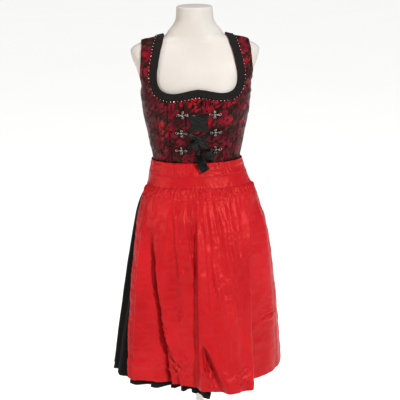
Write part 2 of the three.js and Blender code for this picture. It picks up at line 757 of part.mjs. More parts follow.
// A loop that runs out from the knot and back in front of itself: each place is its length out and its lift
const looped = (heading, lean, places) =>
  places.map(([out, lift]) => fromBow(out * heading[0], out * lean - lift, out * heading[1]));
const bowPieces = {
  ribbon_loop_left: {
    path: looped([-0.46, 0.88], -0.14, [[9.5, 0.2], [20, 1], [33, 1], [42, 4.5], [36, 9], [22, 8.5], [8, 3.9]]),
    width: (t) => 9 + 14 * Math.sin(Math.PI * t),
    across: [0.88, 0, 0.46],
  },
  ribbon_loop_right: {
    path: looped([0.96, -0.28], 0.01, [[8.6, 0], [22, 2.5], [42, 0.5], [53, 4], [43, 8.5], [24, 8.5], [9, 5]]),
    width: (t) => 12 + 12 * Math.sin(Math.PI * t),
    across: [0.28, 0, 0.96],
  },
  ribbon_end: {
    path: [fromBow(0, -1, -9.3), fromBow(3, -7, -22), fromBow(10, -10, -38), fromBow(20, -12, -56)],
    width: (t) => 16 + 12 * ease(0, 0.4, t),
    across: [1, -0.15, 0.1],
  },
};
for (const [name, piece] of Object.entries(bowPieces))
  add(name, "ribbon", ribbon({ ...piece, thick: satin.thick, steps: 18 }));

export default dirndl;
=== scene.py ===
# Dirndl with a laced jacquard bodice, a black skirt and a red taffeta apron, on a white dress form.
# Shapes are worked out in millimetres and become metres where a mesh is made. The front faces -Y.
import math

import bpy
import numpy as np
from mathutils import Matrix, Vector


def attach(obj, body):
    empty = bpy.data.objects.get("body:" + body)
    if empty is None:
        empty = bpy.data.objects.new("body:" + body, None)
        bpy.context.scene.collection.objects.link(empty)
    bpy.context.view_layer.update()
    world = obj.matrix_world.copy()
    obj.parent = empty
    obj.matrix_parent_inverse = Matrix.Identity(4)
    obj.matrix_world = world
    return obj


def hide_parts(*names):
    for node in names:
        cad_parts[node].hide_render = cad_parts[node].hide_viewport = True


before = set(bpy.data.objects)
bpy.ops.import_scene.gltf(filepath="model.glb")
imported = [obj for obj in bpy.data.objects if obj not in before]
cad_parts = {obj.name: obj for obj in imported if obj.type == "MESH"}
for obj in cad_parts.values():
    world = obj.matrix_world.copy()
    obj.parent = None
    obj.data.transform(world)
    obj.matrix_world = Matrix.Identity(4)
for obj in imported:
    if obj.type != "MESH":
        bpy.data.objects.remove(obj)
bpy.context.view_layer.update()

mm = 0.001
degree = math.pi / 180
fullTurn = 2 * math.pi


# Camera, in metres

view = {
    "place": (-0.25, -3.70, 1.75), "target": (0.002, -0.1, 0.905), "roll": -0.78 * degree,
    "lens": 108.4, "sensor": 36,
}


def addObject(name, data):
    added = bpy.data.objects.new(name, data)
    bpy.context.scene.collection.objects.link(added)
    return added


def addCamera():
    data = bpy.data.cameras.new("camera")
    data.sensor_width = view["sensor"]
    data.lens = view["lens"]
    data.clip_end = 200
    forward = (Vector(view["target"]) - Vector(view["place"])).normalized()
    level = forward.cross(Vector((0, 0, 1))).normalized()
    above = level.cross(forward)
    roll = view["roll"]
    right = level * math.cos(roll) + above * math.sin(roll)
    up = above * math.cos(roll) - level * math.sin(roll)
    turn = Matrix((right, up, -forward)).transposed().to_4x4()
    camera = addObject("camera", data)
    camera.matrix_world = Matrix.Translation(view["place"]) @ turn
    bpy.context.scene.camera = camera


addCamera()
print("camera placed")


# Numbers


# Rows of numbers as one array for each named column
def table(names, rows):
    return dict(zip(names.split(), np.array(rows, float).T))


def mix(a, b, t):
    return a + (b - a) * t


def ease(start, end, x):
    t = np.clip((x - start) / (end - start), 0, 1)
    return t * t * (3 - 2 * t)


# One column of a table where its first column, or another, has some values, on a smooth curve through its
# rows that never overshoots
def along(rows, column, at, by=None):
    x, y = rows[by or next(iter(rows))], rows[column]
    at = np.clip(np.asarray(at, float), x[0], x[-1])
    rise = np.diff(y) / np.diff(x)
    before, after = rise[:-1], rise[1:]
    same = before * after > 0
    middle = np.where(same, 2 * before * after / np.where(same, before + after, 1), 0)
    slope = np.concatenate((rise[:1], middle, rise[-1:]))
    i = np.clip(np.searchsorted(x, at, side="right") - 1, 0, len(x) - 2)
    return hermite(y[i], y[i + 1], slope[i] * (x[i + 1] - x[i]), slope[i + 1] * (x[i + 1] - x[i]),
                   (at - x[i]) / (x[i + 1] - x[i]))


def hermite(start, end, startSlope, endSlope, t):
    t2, t3 = t**2, t**3
    return (
        (2 * t3 - 3 * t2 + 1) * start
        + (t3 - 2 * t2 + t) * startSlope
        + (3 * t2 - 2 * t3) * end
        + (t3 - t2) * endSlope
    )


# An uneven number from 0 to 1 for each whole number
def scatter(number, seed=0.0):
    return np.modf(np.abs(np.sin(number * 12.9898 + seed * 78.233) * 43758.5453))[0]


# Smooth unevenness from -1 to 1, with a grain of about one unit of u and v
def unevenness(u, v, seed=0.0):
    wholeU, wholeV = np.floor(u), np.floor(v)
    partU, partV = ease(0, 1, u - wholeU), ease(0, 1, v - wholeV)
    near = scatter(wholeU * 57 + wholeV * 113, seed)
    right = scatter((wholeU + 1) * 57 + wholeV * 113, seed)
    above = scatter(wholeU * 57 + (wholeV + 1) * 113, seed)
    across = scatter((wholeU + 1) * 57 + (wholeV + 1) * 113, seed)
    return 2 * mix(mix(near, right, partU), mix(above, across, partU), partV) - 1


# How far a line or grid of points has run from its first row or column
def runLength(points, axis):
    steps = np.linalg.norm(np.diff(points, axis=axis), axis=-1)
    start = np.zeros_like(np.take(steps, [0], axis=axis))
    return np.concatenate((start, np.cumsum(steps, axis=axis)), axis=axis)


# Places on a line of points, where its run has some values
def placesAt(line, run, values):
    return np.stack([np.interp(values, run, axis) for axis in line.T], axis=-1)


# The angles of some sides, evenly round a circle
def around(sides):
    return np.arange(sides) / sides * fullTurn


# A smooth curve through points, as closely spaced places with their shares of its length
def smoothCurve(points, samples=60):
    p = np.array(points, float)
    p = np.concatenate(([2 * p[0] - p[1]], p, [2 * p[-1] - p[-2]]))
    t = np.linspace(0, 1, samples, endpoint=False)[:, None]
    dense = []
    for i in range(1, len(p) - 2):
        gap = np.linalg.norm(np.diff(p[i - 1:i + 3], axis=0), axis=1) ** 0.5
        first = (p[i] - p[i - 1]) / gap[0] - (p[i + 1] - p[i - 1]) / (gap[0] + gap[1])
        first = (first + (p[i + 1] - p[i]) / gap[1]) * gap[1]
        last = (p[i + 1] - p[i]) / gap[1] - (p[i + 2] - p[i]) / (gap[1] + gap[2])
        last = (last + (p[i + 2] - p[i + 1]) / gap[2]) * gap[1]
        dense.append(hermite(p[i], p[i + 1], first, last, t))
    places = np.concatenate(dense + [p[-2:-1]])
    run = runLength(places, 0)
    return {"places": places, "shares": run / run[-1], "length": run[-1]}


def curveAt(curve, share):
    return placesAt(curve["places"], curve["shares"], share)


def unit(vectors):
    return vectors / np.linalg.norm(vectors, axis=-1, keepdims=True)


def heading(curve, share):
    step = 0.002
    return unit(curveAt(curve, np.clip(share + step, 0, 1)) - curveAt(curve, np.clip(share - step, 0, 1)))


# Materials


def colour(code):
    parts = [int(code[i:i + 2], 16) / 255 for i in (1, 3, 5)]
    return (*[c / 12.92 if c <= 0.04045 else ((c + 0.055) / 1.055) ** 2.4 for c in parts], 1.0)


# A node with its settings and links, and its first output; stops are the colours of a ramp
def addNode(material, kind, links=(), stops=(), output=0, **settings):
    tree = material.node_tree
    node = tree.nodes.new("ShaderNode" + kind)
    for name, value in settings.items():
        setattr(node, name, value)
    for name, value in links.items() if isinstance(links, dict) else enumerate(links):
        if isinstance(value, bpy.types.NodeSocket):
            tree.links.new(value, node.inputs[name])
        elif value is not None:
            node.inputs[name].default_value = value
    for i, (position, code) in enumerate(stops):
        stop = node.color_ramp.elements[i] if i < 2 else node.color_ramp.elements.new(position)
        stop.position = position
        stop.color = colour(code)
    return node.outputs[output]


def startMaterial(name, sheenTint="#ffffff", **finish):
    material = bpy.data.materials.new(name)
    material.use_nodes = True
    sockets = material.node_tree.nodes["Principled BSDF"].inputs
    sockets["Sheen Tint"].default_value = colour(sheenTint)
    for socket, value in finish.items():
        sockets[socket].default_value = value
    return material


def finishMaterial(material, **links):
    sockets = material.node_tree.nodes["Principled BSDF"].inputs
    for socket, value in links.items():
        material.node_tree.links.new(value, sockets[socket.replace("_", " ")])
    return material


# Gel-coated fibreglass, moulded and buffed: satin white with soft highlights and a faint unevenness
def fibreglass():
    m = startMaterial("white gel-coated fibreglass", **{
        "Roughness": 0.5, "IOR": 1.5, "Specular IOR Level": 0.3,
    })
    spot = addNode(m, "TexCoord", output=3)
    cloud = addNode(m, "TexNoise", {"Vector": spot, "Scale": 7.0, "Detail": 3.0})
    grain = addNode(m, "TexNoise", {"Vector": spot, "Scale": 240.0, "Detail": 2.0})
    tone = addNode(m, "ValToRGB", [cloud], [(0.3, "#b3afab"), (0.7, "#bbb7b3")])
    normal = addNode(m, "Bump", {"Height": grain, "Distance": 0.0002, "Strength": 0.3})
    return finishMaterial(m, Base_Color=tone, Normal=normal)


# Steel with a sprayed and baked powder coat: white, with the fine orange peel of the coat
def powderCoat():
    m = startMaterial("powder-coated steel", Roughness=0.45, IOR=1.5)
    spot = addNode(m, "TexCoord", output=3)
    peel = addNode(m, "TexNoise", {"Vector": spot, "Scale": 420.0, "Detail": 2.0})
    tone = addNode(m, "ValToRGB", [peel], [(0.2, "#efede9"), (0.8, "#f8f6f3")])
    normal = addNode(m, "Bump", {"Height": peel, "Distance": 0.0002, "Strength": 0.5})
    return finishMaterial(m, Base_Color=tone, Normal=normal)


# The bump of a plain weave over another normal, with the spacing and depth of its threads in metres
def weave(m, uv, spacing, deep, strength, normal):
    scaled = addNode(m, "Mapping", {"Vector": uv, "Scale": (math.pi / spacing, math.pi / spacing, 1)})
    warp = addNode(m, "Math", [addNode(m, "SeparateXYZ", [scaled])], operation="SINE")
    weft = addNode(m, "Math", [addNode(m, "SeparateXYZ", [scaled], output=1)], operation="SINE")
    threads = addNode(m, "Math", [warp, weft], operation="MULTIPLY")
    return addNode(m, "Bump", {"Height": threads, "Distance": deep, "Strength": strength, "Normal": normal})


# Taffeta, tightly plain-woven from filament yarn: crisp, with weft slubs and a silky sheen on its ridges.
# Real threads are 0.1 mm apart; they are drawn 0.45 mm apart to show at all.
def taffeta():
    m = startMaterial("red woven taffeta", "#ff5a50", **{
        "IOR": 1.5, "Sheen Weight": 0.08, "Sheen Roughness": 0.35, "Specular Tint": colour("#ff8a80"),
    })
    uv = addNode(m, "UVMap", uv_map="cloth")
    long = addNode(m, "Mapping", {"Vector": uv, "Scale": (18, 800, 1)})
    slub = addNode(m, "TexNoise", {"Vector": long, "Scale": 1.0, "Detail": 3.0})
    broad = addNode(m, "Mapping", {"Vector": uv, "Scale": (9, 4, 1)})
    cloud = addNode(m, "TexNoise", {"Vector": broad, "Scale": 1.0, "Detail": 4.0})
    handled = addNode(m, "Mapping", {"Vector": uv, "Scale": (52, 34, 1)})
    crinkle = addNode(m, "TexNoise", {"Vector": handled, "Scale": 1.0, "Detail": 4.0, "Distortion": 1.4})
    tone = addNode(m, "ValToRGB", [cloud], [(0.3, "#9c151e"), (0.75, "#b22029"), (0.52, "#a71b23")])
    slubby = addNode(m, "Math", [slub, 0.22], operation="MULTIPLY")
    tone = addNode(m, "Mix", {0: slubby, 6: tone, 7: colour("#9c0c13")}, data_type="RGBA", output=2)
    rough = addNode(m, "Math", [cloud, 0.18, 0.28], operation="MULTIPLY_ADD")
    normal = addNode(m, "Bump", {"Height": crinkle, "Distance": 0.0035, "Strength": 0.4})
    normal = addNode(m, "Bump", {"Height": slub, "Distance": 0.0003, "Strength": 0.4, "Normal": normal})
    normal = weave(m, uv, 0.00045, 0.00008, 0.4, normal)
    return finishMaterial(m, Base_Color=tone, Roughness=rough, Normal=normal)


# Cotton, plain-woven and dyed black: matt, with a short nap that greys its edges. Its threads are drawn
# 0.6 mm apart, about twice as far as real ones, to show.
def cotton():
    m = startMaterial("black woven cotton", "#a8a2a6", **{
        "Roughness": 0.9, "IOR": 1.5, "Specular IOR Level": 0.25, "Sheen Weight": 0.04,
        "Sheen Roughness": 0.5,
    })
    uv = addNode(m, "UVMap", uv_map="cloth")
    broad = addNode(m, "Mapping", {"Vector": uv, "Scale": (14, 6, 1)})
    cloud = addNode(m, "TexNoise", {"Vector": broad, "Scale": 1.0, "Detail": 4.0})
    tone = addNode(m, "ValToRGB", [cloud], [(0.3, "#0b0a0b"), (0.7, "#151314")])
    normal = addNode(m, "Bump", {"Height": cloud, "Distance": 0.0015, "Strength": 0.3})
    normal = weave(m, uv, 0.0006, 0.0001, 0.5, normal)
    return finishMaterial(m, Base_Color=tone, Normal=normal)


# Ribbon satin, woven with long warp floats: black, with a grey sheen wherever it turns to the light
def satin():
    m = startMaterial("black woven satin", "#c9c6cc", **{
        "Roughness": 0.36, "IOR": 1.5, "Specular IOR Level": 0.25, "Anisotropic": 0.4,
    })
    uv = addNode(m, "UVMap", uv_map="cloth")
    fine = addNode(m, "Mapping", {"Vector": uv, "Scale": (2200, 90, 1)})
    floats = addNode(m, "TexNoise", {"Vector": fine, "Scale": 1.0, "Detail": 2.0})
    soft = addNode(m, "Mapping", {"Vector": uv, "Scale": (70, 110, 1)})
    fold = addNode(m, "TexNoise", {"Vector": soft, "Scale": 1.0, "Detail": 3.0})
    tone = addNode(m, "ValToRGB", [fold], [(0.35, "#020202"), (0.7, "#060506")])
    normal = addNode(m, "Bump", {"Height": fold, "Distance": 0.003, "Strength": 0.6})
    normal = addNode(m, "Bump", {"Height": floats, "Distance": 0.00006, "Strength": 0.4, "Normal": normal})
    return finishMaterial(m, Base_Color=tone, Normal=normal)


braidShape = {
    "width": 22, "lift": 1.9, "wall": 1.6, "strand": 4.6,
    "picotPitch": 11, "picot": 2.8, "cord": 0.8, "bead": 1.7,
}


# Cotton braid, plaited: a row of slanting strands on each side of its middle, dull and nearly black
def braid():
    m = startMaterial("black plaited cotton braid", "#8d8278", **{
        "Roughness": 0.8, "IOR": 1.5, "Specular IOR Level": 0.25, "Sheen Weight": 0.06,
        "Sheen Roughness": 0.45,
    })
    uv = addNode(m, "UVMap", uv_map="cloth")
    length = addNode(m, "SeparateXYZ", [uv])
    breadth = addNode(m, "SeparateXYZ", [uv], output=1)
    fromMiddle = addNode(m, "Math", [breadth, braidShape["width"] * mm / 2], operation="SUBTRACT")
    fromMiddle = addNode(m, "Math", [fromMiddle], operation="ABSOLUTE")
    slant = addNode(m, "Math", [fromMiddle, 0.8, length], operation="MULTIPLY_ADD")
    turns = addNode(m, "Math", [slant, fullTurn / (braidShape["strand"] * mm)], operation="MULTIPLY")
    strands = addNode(m, "Math", [turns], operation="SINE")
    tone = addNode(m, "ValToRGB", [strands], [(0.0, "#080706"), (1.0, "#1e1a17")])
    normal = addNode(m, "Bump", {"Height": strands, "Distance": 0.0005, "Strength": 0.7})
    return finishMaterial(m, Base_Color=tone, Normal=normal)


# Silver-plated zinc, cast and blackened: bright where it has been rubbed, dark in its hollows
def silver(name, low, high):
    m = startMaterial(name, Metallic=1.0, Roughness=0.3)
    spot = addNode(m, "TexCoord", output=3)
    tarnish = addNode(m, "TexNoise", {"Vector": spot, "Scale": 520.0, "Detail": 4.0})
    tone = addNode(m, "ValToRGB", [tarnish], [(0.42, low), (0.58, high)])
    normal = addNode(m, "Bump", {"Height": tarnish, "Distance": 0.0006, "Strength": 0.6})
    return finishMaterial(m, Base_Color=tone, Normal=normal)


# Polyester sewing thread, twisted: slightly glossy, with the turn of its plies
def twistedThread(name, low, high):
    m = startMaterial(name, Roughness=0.55, IOR=1.5)
    spot = addNode(m, "TexCoord", output=3)
    twist = addNode(m, "TexWave", {"Vector": spot, "Scale": 900.0, "Distortion": 2.0}, output=1)
    tone = addNode(m, "ValToRGB", [twist], [(0.0, low), (1.0, high)])
    return finishMaterial(m, Base_Color=tone)


# Jacquard, woven with floating wefts: crimson flowers and leaves lie a little proud on a black ground
# with dark bronze threads. Thread spacing is drawn at 0.7 mm, over twice the real one, to show. Each bright
# place is a pool of painted light where the reds are lightest: its x and height, and its reach.
jacquardShape = {
    "flower": (54, 64), "petals": 5, "leaf": 13, "sprig": 7.5, "bend": 12, "thread": 0.7, "paintedLight": 0.24,
    "bright": [
        (-22, 1212, 46), (38, 1206, 44), (-146, 1315, 60), (-104, 1150, 40), (84, 1160, 34), (140, 1330, 40),
    ],
    "reds": [(0.34, "#220b10"), (0.84, "#b01e28"), (0.46, "#4a0f20"), (0.58, "#6e1226"), (0.7, "#8e1726")],
    "ground": [(0.35, "#0f0c0a"), (0.7, "#473a26"), (0.55, "#241b14")],
}


# Masks of the flowers, their veins and their hearts; each column of flowers is half a repeat lower
def flowers(m, bent):
    wide, tall = [size * mm for size in jacquardShape["flower"]]
    cell = addNode(m, "Mapping", {"Vector": bent, "Scale": (1 / wide, 1 / tall, 1)})
    across = addNode(m, "SeparateXYZ", [cell])
    up = addNode(m, "SeparateXYZ", [cell], output=1)
    column = addNode(m, "Math", [across], operation="FLOOR")
    x = addNode(m, "Math", [across], operation="FRACT")
    y = addNode(m, "Math", [column, 0.5, up], operation="MULTIPLY_ADD")
    y = addNode(m, "Math", [y], operation="FRACT")
    x = addNode(m, "Math", [x, 0.5], operation="SUBTRACT")
    y = addNode(m, "Math", [y, 0.5], operation="SUBTRACT")
    turn = addNode(m, "Math", [y, x], operation="ARCTAN2")
    turn = addNode(m, "Math", [column, 1.9, turn], operation="MULTIPLY_ADD")
    petal = addNode(m, "Math", [turn, float(jacquardShape["petals"])], operation="MULTIPLY")
    petal = addNode(m, "Math", [petal], operation="COSINE")
    reach = addNode(m, "Math", [petal, 0.11, 0.30], operation="MULTIPLY_ADD")
    far = addNode(m, "VectorMath", [addNode(m, "CombineXYZ", [x, y])], operation="LENGTH", output=1)
    inside = addNode(m, "Math", [reach, far], operation="SUBTRACT")
    whole = addNode(m, "Math", [inside, 0.0], operation="GREATER_THAN")
    veins = addNode(m, "Math", [inside, 0.05], operation="PINGPONG")
    veins = addNode(m, "Math", [veins, 0.011], operation="LESS_THAN")
    veins = addNode(m, "Math", [veins, whole], operation="MULTIPLY")
    heart = addNode(m, "Math", [far, 0.07], operation="LESS_THAN")
    return whole, veins, heart


# A mask of leaves: drawn-out cells of one size that all lean one way
def leaves(m, bent, size, lean, cut):
    drawn = (1 / (size * mm), 0.42 / (size * mm), 1)
    turned = addNode(m, "VectorRotate", {"Vector": bent, "Angle": lean}, rotation_type="Z_AXIS")
    turned = addNode(m, "Mapping", {"Vector": turned, "Scale": drawn})
    cells = {"Vector": turned, "Scale": 1.0, "Randomness": 0.8}
    nearest = addNode(m, "TexVoronoi", cells, voronoi_dimensions="2D")
    return addNode(m, "Math", [nearest, cut], operation="LESS_THAN")


# The colour of the floating wefts: dark and light patches, with painted light that makes them lightest round
# the bright places
def reds(m, uv):
    tint = addNode(m, "TexNoise", {"Vector": uv, "Scale": 22.0, "Detail": 5.0})
    paintedLight = jacquardShape["paintedLight"]
    # Painted light: the reds are lightened round each bright place, more the nearer it is
    for x, z, reach in jacquardShape["bright"]:
        apart = addNode(m, "VectorMath", [uv, (x * mm, z * mm, 0)], output=1, operation="DISTANCE")
        near = addNode(m, "Math", [apart, -paintedLight / (reach * mm), paintedLight], operation="MULTIPLY_ADD")
        near = addNode(m, "Math", [near, 0.0], operation="MAXIMUM")
        tint = addNode(m, "Math", [tint, near], operation="ADD")
    return addNode(m, "ValToRGB", [tint], jacquardShape["reds"])


def jacquard():
    m = startMaterial("red and black jacquard", **{
        "IOR": 1.5, "Specular IOR Level": 0.2, "Specular Tint": colour("#ff9c90"),
    })
    uv = addNode(m, "UVMap", uv_map="cloth")
    sway = addNode(m, "TexNoise", {"Vector": uv, "Scale": 42.0, "Detail": 3.0}, output=1)
    sway = addNode(m, "VectorMath", [sway, (0.5, 0.5, 0.5)], operation="SUBTRACT")
    sway = addNode(m, "VectorMath", {0: sway, "Scale": jacquardShape["bend"] * 2 * mm}, operation="SCALE")
    bent = addNode(m, "VectorMath", [uv, sway], operation="ADD")
    flower, veins, heart = flowers(m, bent)
    leaf = leaves(m, bent, jacquardShape["leaf"], 0.8, 0.34)
    sprig = leaves(m, bent, jacquardShape["sprig"], -0.7, 0.3)
    crimson = reds(m, uv)
    patch = addNode(m, "TexNoise", {"Vector": uv, "Scale": 75.0, "Detail": 3.0})
    tone = addNode(m, "ValToRGB", [patch], jacquardShape["ground"])
    for share, fill in (
        (sprig, colour("#350b14")), (leaf, crimson), (flower, crimson), (veins, colour("#1a0d0e")),
        (heart, colour("#241012")),
    ):
        tone = addNode(m, "Mix", {0: share, 6: tone, 7: fill}, data_type="RGBA", output=2)
    floating = addNode(m, "Math", [flower, leaf], operation="MAXIMUM")
    rough = addNode(m, "Math", [floating, -0.16, 0.5], operation="MULTIPLY_ADD")
    normal = addNode(m, "Bump", {"Height": floating, "Distance": 0.0004, "Strength": 0.6})
    normal = weave(m, uv, jacquardShape["thread"] * mm, 0.00012, 0.5, normal)
    return finishMaterial(m, Base_Color=tone, Roughness=rough, Normal=normal)


materials = {
    "form": fibreglass(), "stand": powderCoat(), "jacquard": jacquard(), "trim": braid(),
    "skirt": cotton(), "apron": taffeta(), "ribbon": satin(),
    "hooks": silver("blackened silver plate", "#070606", "#1f1d1b"),
}
sewingThread = twistedThread("red twisted sewing thread", "#a51a22", "#b3202a")
darkThread = twistedThread("black twisted sewing thread", "#080707", "#1c1918")
rubbedSilver = silver("rubbed silver plate", "#1b1916", "#f1eee7")
print("materials made")


# Meshes


# The same piece name as the part's node, written with dashes
def pieceName(node):
    return node.replace("_", "-")


# A piece in the slot's material or another; edges bent more than sharp, in degrees, stay crisp
def addPiece(name, points, faces, slot, node=None, uv=None, material=None, sharp=None):
    mesh = bpy.data.meshes.new(name)
    mesh.from_pydata((np.reshape(points, (-1, 3)) * mm).tolist(), [], [tuple(face) for face in faces])
    if uv is not None:
        layer = mesh.uv_layers.new(name="cloth")
        corners = np.zeros(len(mesh.loops), int)
        mesh.loops.foreach_get("vertex_index", corners)
        layer.data.foreach_set("uv", (uv[corners] * mm).ravel())
    mesh.materials.append(material or materials[slot])
    mesh.shade_smooth()
    if sharp:
        mesh.set_sharp_from_angle(angle=sharp * degree)
    piece = addObject(name, mesh)
    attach(piece, "root")
    if node:
        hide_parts(node)
    return piece


def gridFaces(rows, columns, closed=False):
    wide = columns if closed else columns - 1
    j, i = np.meshgrid(np.arange(rows - 1), np.arange(wide), indexing="ij")
    after = (i + 1) % columns
    corners = (j * columns + i, j * columns + after, (j + 1) * columns + after, (j + 1) * columns + i)
    return np.stack(corners, axis=-1).reshape(-1, 4)


def closedFaces(rows, columns):
    ends = [list(range(columns))[::-1], [(rows - 1) * columns + i for i in range(columns)]]
    return gridFaces(rows, columns, closed=True).tolist() + ends


def grid(rows, columns):
    return np.meshgrid(np.linspace(0, 1, columns), np.linspace(0, 1, rows))


# A wall of cloth between two grids of points, closed round its edges, with its flat size measured along it
def addCloth(node, outside, inside, slot, uv=None, sharp=None):
    rows, columns = outside.shape[:2]
    count = rows * columns
    faces = gridFaces(rows, columns)
    first, last = np.arange(columns), np.arange(rows) * columns
    edges = [
        np.stack((line[1:], line[:-1], line[:-1] + count, line[1:] + count), axis=-1)
        for line in (first, last + columns - 1, first[::-1] + count - columns, last[::-1])
    ]
    across, up = runLength(outside, 1), runLength(outside, 0)
    if uv is None:
        fromMiddle = across - across[:, [columns // 2]]
        uv = np.stack((fromMiddle, up.max(axis=1, keepdims=True) + 0 * up), axis=-1)
    piece = addPiece(
        pieceName(node),
        np.concatenate((outside.reshape(-1, 3), inside.reshape(-1, 3))),
        np.concatenate([faces, faces[:, ::-1] + count, *edges]).tolist(),
        slot,
        node,
        np.concatenate([uv.reshape(-1, 2)] * 2),
        sharp=sharp,
    )
    return piece


# A row of stitches along a line: short six-sided threads with drawn-in ends
stitchShape = {"pitch": 3.4, "long": 2.5, "radius": 0.3, "sides": 6}


def addStitches(name, line, slot="apron", material=sewingThread):
    run = runLength(line, 0)
    starts = np.arange(stitchShape["pitch"] / 2, run[-1] - stitchShape["long"], stitchShape["pitch"])
    first, last = [placesAt(line, run, at) for at in (starts, starts + stitchShape["long"])]
    side = unit(np.cross(last - first, (0.3, 0.2, 0.9)))
    other = unit(np.cross(last - first, side))
    sides = stitchShape["sides"]
    points = []
    for share, size in ((0.0, 0.25), (0.2, 1.0), (0.8, 1.0), (1.0, 0.25)):
        for k in range(sides):
            a = k * fullTurn / sides
            radius = stitchShape["radius"] * size
            points.append(mix(first, last, share) + radius * (side * math.cos(a) + other * math.sin(a)))
    shift = np.arange(len(starts))[:, None, None] * len(points)
    faces = (gridFaces(4, sides, closed=True)[None] + shift).reshape(-1, 4)
    addPiece(name, np.stack(points, axis=1), faces.tolist(), slot, material=material)


# A closed line in a flat plane, as a round wire
def wire(line, radius, sides=6):
    ahead = np.roll(line, -1, axis=0) - np.roll(line, 1, axis=0)
    side = unit(np.stack((ahead[:, 1], -ahead[:, 0], 0 * ahead[:, 0]), axis=-1))
    a = around(sides)[:, None]
    points = line[:, None] + radius * (side[:, None] * np.cos(a) + np.array((0, 0, 1)) * np.sin(a))
    rows = len(line)
    faces = [[(j + dj) % rows * sides + (i + di) % sides for dj, di in ((0, 0), (1, 0), (1, 1), (0, 1))]
             for j in range(rows) for i in range(sides)]
    return points.reshape(-1, 3), faces


# Stand: a turned base plate with a socket, and a pole up to the form

standShape = {"radius": 170, "thick": 8, "socket": 30, "pole": 12.5, "formFoot": 760, "gap": 0.3}


def addTurned(name, node, profile, sides):
    a = around(sides)
    rings = [np.stack((r * np.cos(a), r * np.sin(a), 0 * a + z), axis=-1) for r, z in profile]
    addPiece(name, np.concatenate(rings), closedFaces(len(profile), sides), "stand", node, sharp=40)


def addStand():
    r, thick, socket, pole = [standShape[key] for key in ("radius", "thick", "socket", "pole")]
    foot, head = socket + standShape["gap"], standShape["formFoot"] - standShape["gap"]
    addTurned("base-plate", "stand_base", [
        (r - 2, 0), (r - 0.6, 0.6), (r, 2), (r, thick - 3), (r - 0.9, thick - 0.9), (r - 3, thick),
        (26, thick), (24.2, thick + 0.6), (23.6, thick + 2), (20.4, socket - 1), (19.6, socket),
    ], 96)
    addTurned("pole", "stand_pole", [
        (pole - 0.4, foot), (pole, foot + 0.4), (pole, head - 0.4), (pole - 0.4, head),
    ], 48)


addStand()


# Dress form: rings of a general figure with cut-off shoulders, leaning a little forward at the neck.
# Angles go round the body from the front (0) past the picture's right (+90) to the back (180).

formSections = table("height half front back square", [
    (760, 154, 98, 110, 2), (800, 164, 103, 117, 2), (850, 166, 104, 119, 2), (900, 156, 101, 110, 2),
    (960, 138, 97, 95, 2), (1020, 132, 92, 87, 2), (1066, 140, 98, 91, 2.1), (1107, 148, 104, 96, 2.2),
    (1148, 156, 109, 101, 2.3), (1185, 162, 111, 105, 2.5), (1225, 166, 109, 108, 2.6),
    (1257, 169, 104, 108, 2.7), (1300, 180, 94, 104, 2.8), (1334, 193, 80, 96, 2.8),
    (1358, 198, 68, 84, 2.6), (1370, 189, 62, 78, 2.4), (1380, 171, 57, 74, 2.2), (1387, 154, 55, 71, 2.1),
    (1402, 92, 54, 66, 2), (1418, 80, 54, 62, 2), (1434, 67, 54, 57, 2), (1452, 58, 54, 55, 2),
    (1490, 55, 55, 55, 2),
])
formShape = {
    "foot": 760, "head": 1490, "edge": 5, "leanFrom": 1440, "lean": 3 * degree, "rows": 190, "columns": 144,
}
bust = {"height": 1178, "angle": 33 * degree, "rise": 15, "tall": 50, "wide": 21 * degree}


def sectionRadius(angle, half, front, back, square):
    depth = np.where(np.cos(angle) > 0, front, back)
    return (np.abs(np.sin(angle) / half) ** square + np.abs(np.cos(angle) / depth) ** square) ** (-1 / square)


def formRadius(angle, height):
    section = [along(formSections, name, height) for name in ("half", "front", "back", "square")]
    radius = sectionRadius(angle, *section)
    for side in (-1, 1):
        beside = (angle - side * bust["angle"]) / bust["wide"]
        above = (height - bust["height"]) / bust["tall"]
        radius = radius + bust["rise"] * np.exp(-(beside**2) - above**2)
    return radius


def polar(angle, radius, height):
    return np.stack(np.broadcast_arrays(radius * np.sin(angle), -radius * np.cos(angle), height), axis=-1)


def outsideForm(p):
    return np.hypot(p[..., 0], p[..., 1]) - formRadius(np.arctan2(p[..., 0], -p[..., 1]), p[..., 2])


# Moves nearby points to the form, and gives them with the form's normals there
def onForm(points):
    points = np.array(points, float)
    normal = np.zeros_like(points)
    for _ in range(10):
        for axis in range(3):
            shift = np.eye(3)[axis] * 0.5
            normal[..., axis] = outsideForm(points + shift) - outsideForm(points - shift)
        points = points - normal * (outsideForm(points) / np.sum(normal**2, axis=-1))[..., None]
    return points, unit(normal)


def raised(points, normal, lift):
    return points + normal * np.asarray(lift)[..., None]


def lifted(guide, lift):
    return raised(*onForm(guide), lift)


# A point on the form's front (side -1) or back (side 1), from its place in the front view
def faced(x, height, side):
    x, height = np.broadcast_arrays(np.asarray(x, float), np.asarray(height, float))
    half, square = [along(formSections, name, height) for name in ("half", "square")]
    depth = along(formSections, "front" if side < 0 else "back", height)
    share = np.clip(np.abs(x) / half, 0, 1) ** square
    return np.stack((x, side * depth * (1 - share) ** (1 / square), height), axis=-1)


def addForm():
    foot, head, edge = formShape["foot"], formShape["head"], formShape["edge"]
    rise = edge * (1 - np.cos(np.linspace(0, math.pi / 2, 7)))
    body = np.linspace(foot + edge, head - edge, formShape["rows"])[1:-1]
    heights = np.concatenate((foot + rise, body, head - rise[::-1]))
    angle, height = np.meshgrid(around(formShape["columns"]), heights)
    into = np.clip(edge - np.minimum(height - foot, head - height), 0, edge)
    points = polar(angle, formRadius(angle, height) - edge + np.sqrt(edge**2 - into**2), height)
    points[..., 2] += ease(formShape["leanFrom"], head, height) * math.tan(formShape["lean"]) * points[..., 1]
    faces = closedFaces(len(heights), formShape["columns"])
    addPiece("form-torso", points, faces, "form", "form_torso", sharp=50)


addForm()
print("dress form and stand made")


# Bodice: panels between seams, 0.3 mm apart. Each edge is a row of places for the picture's right half.

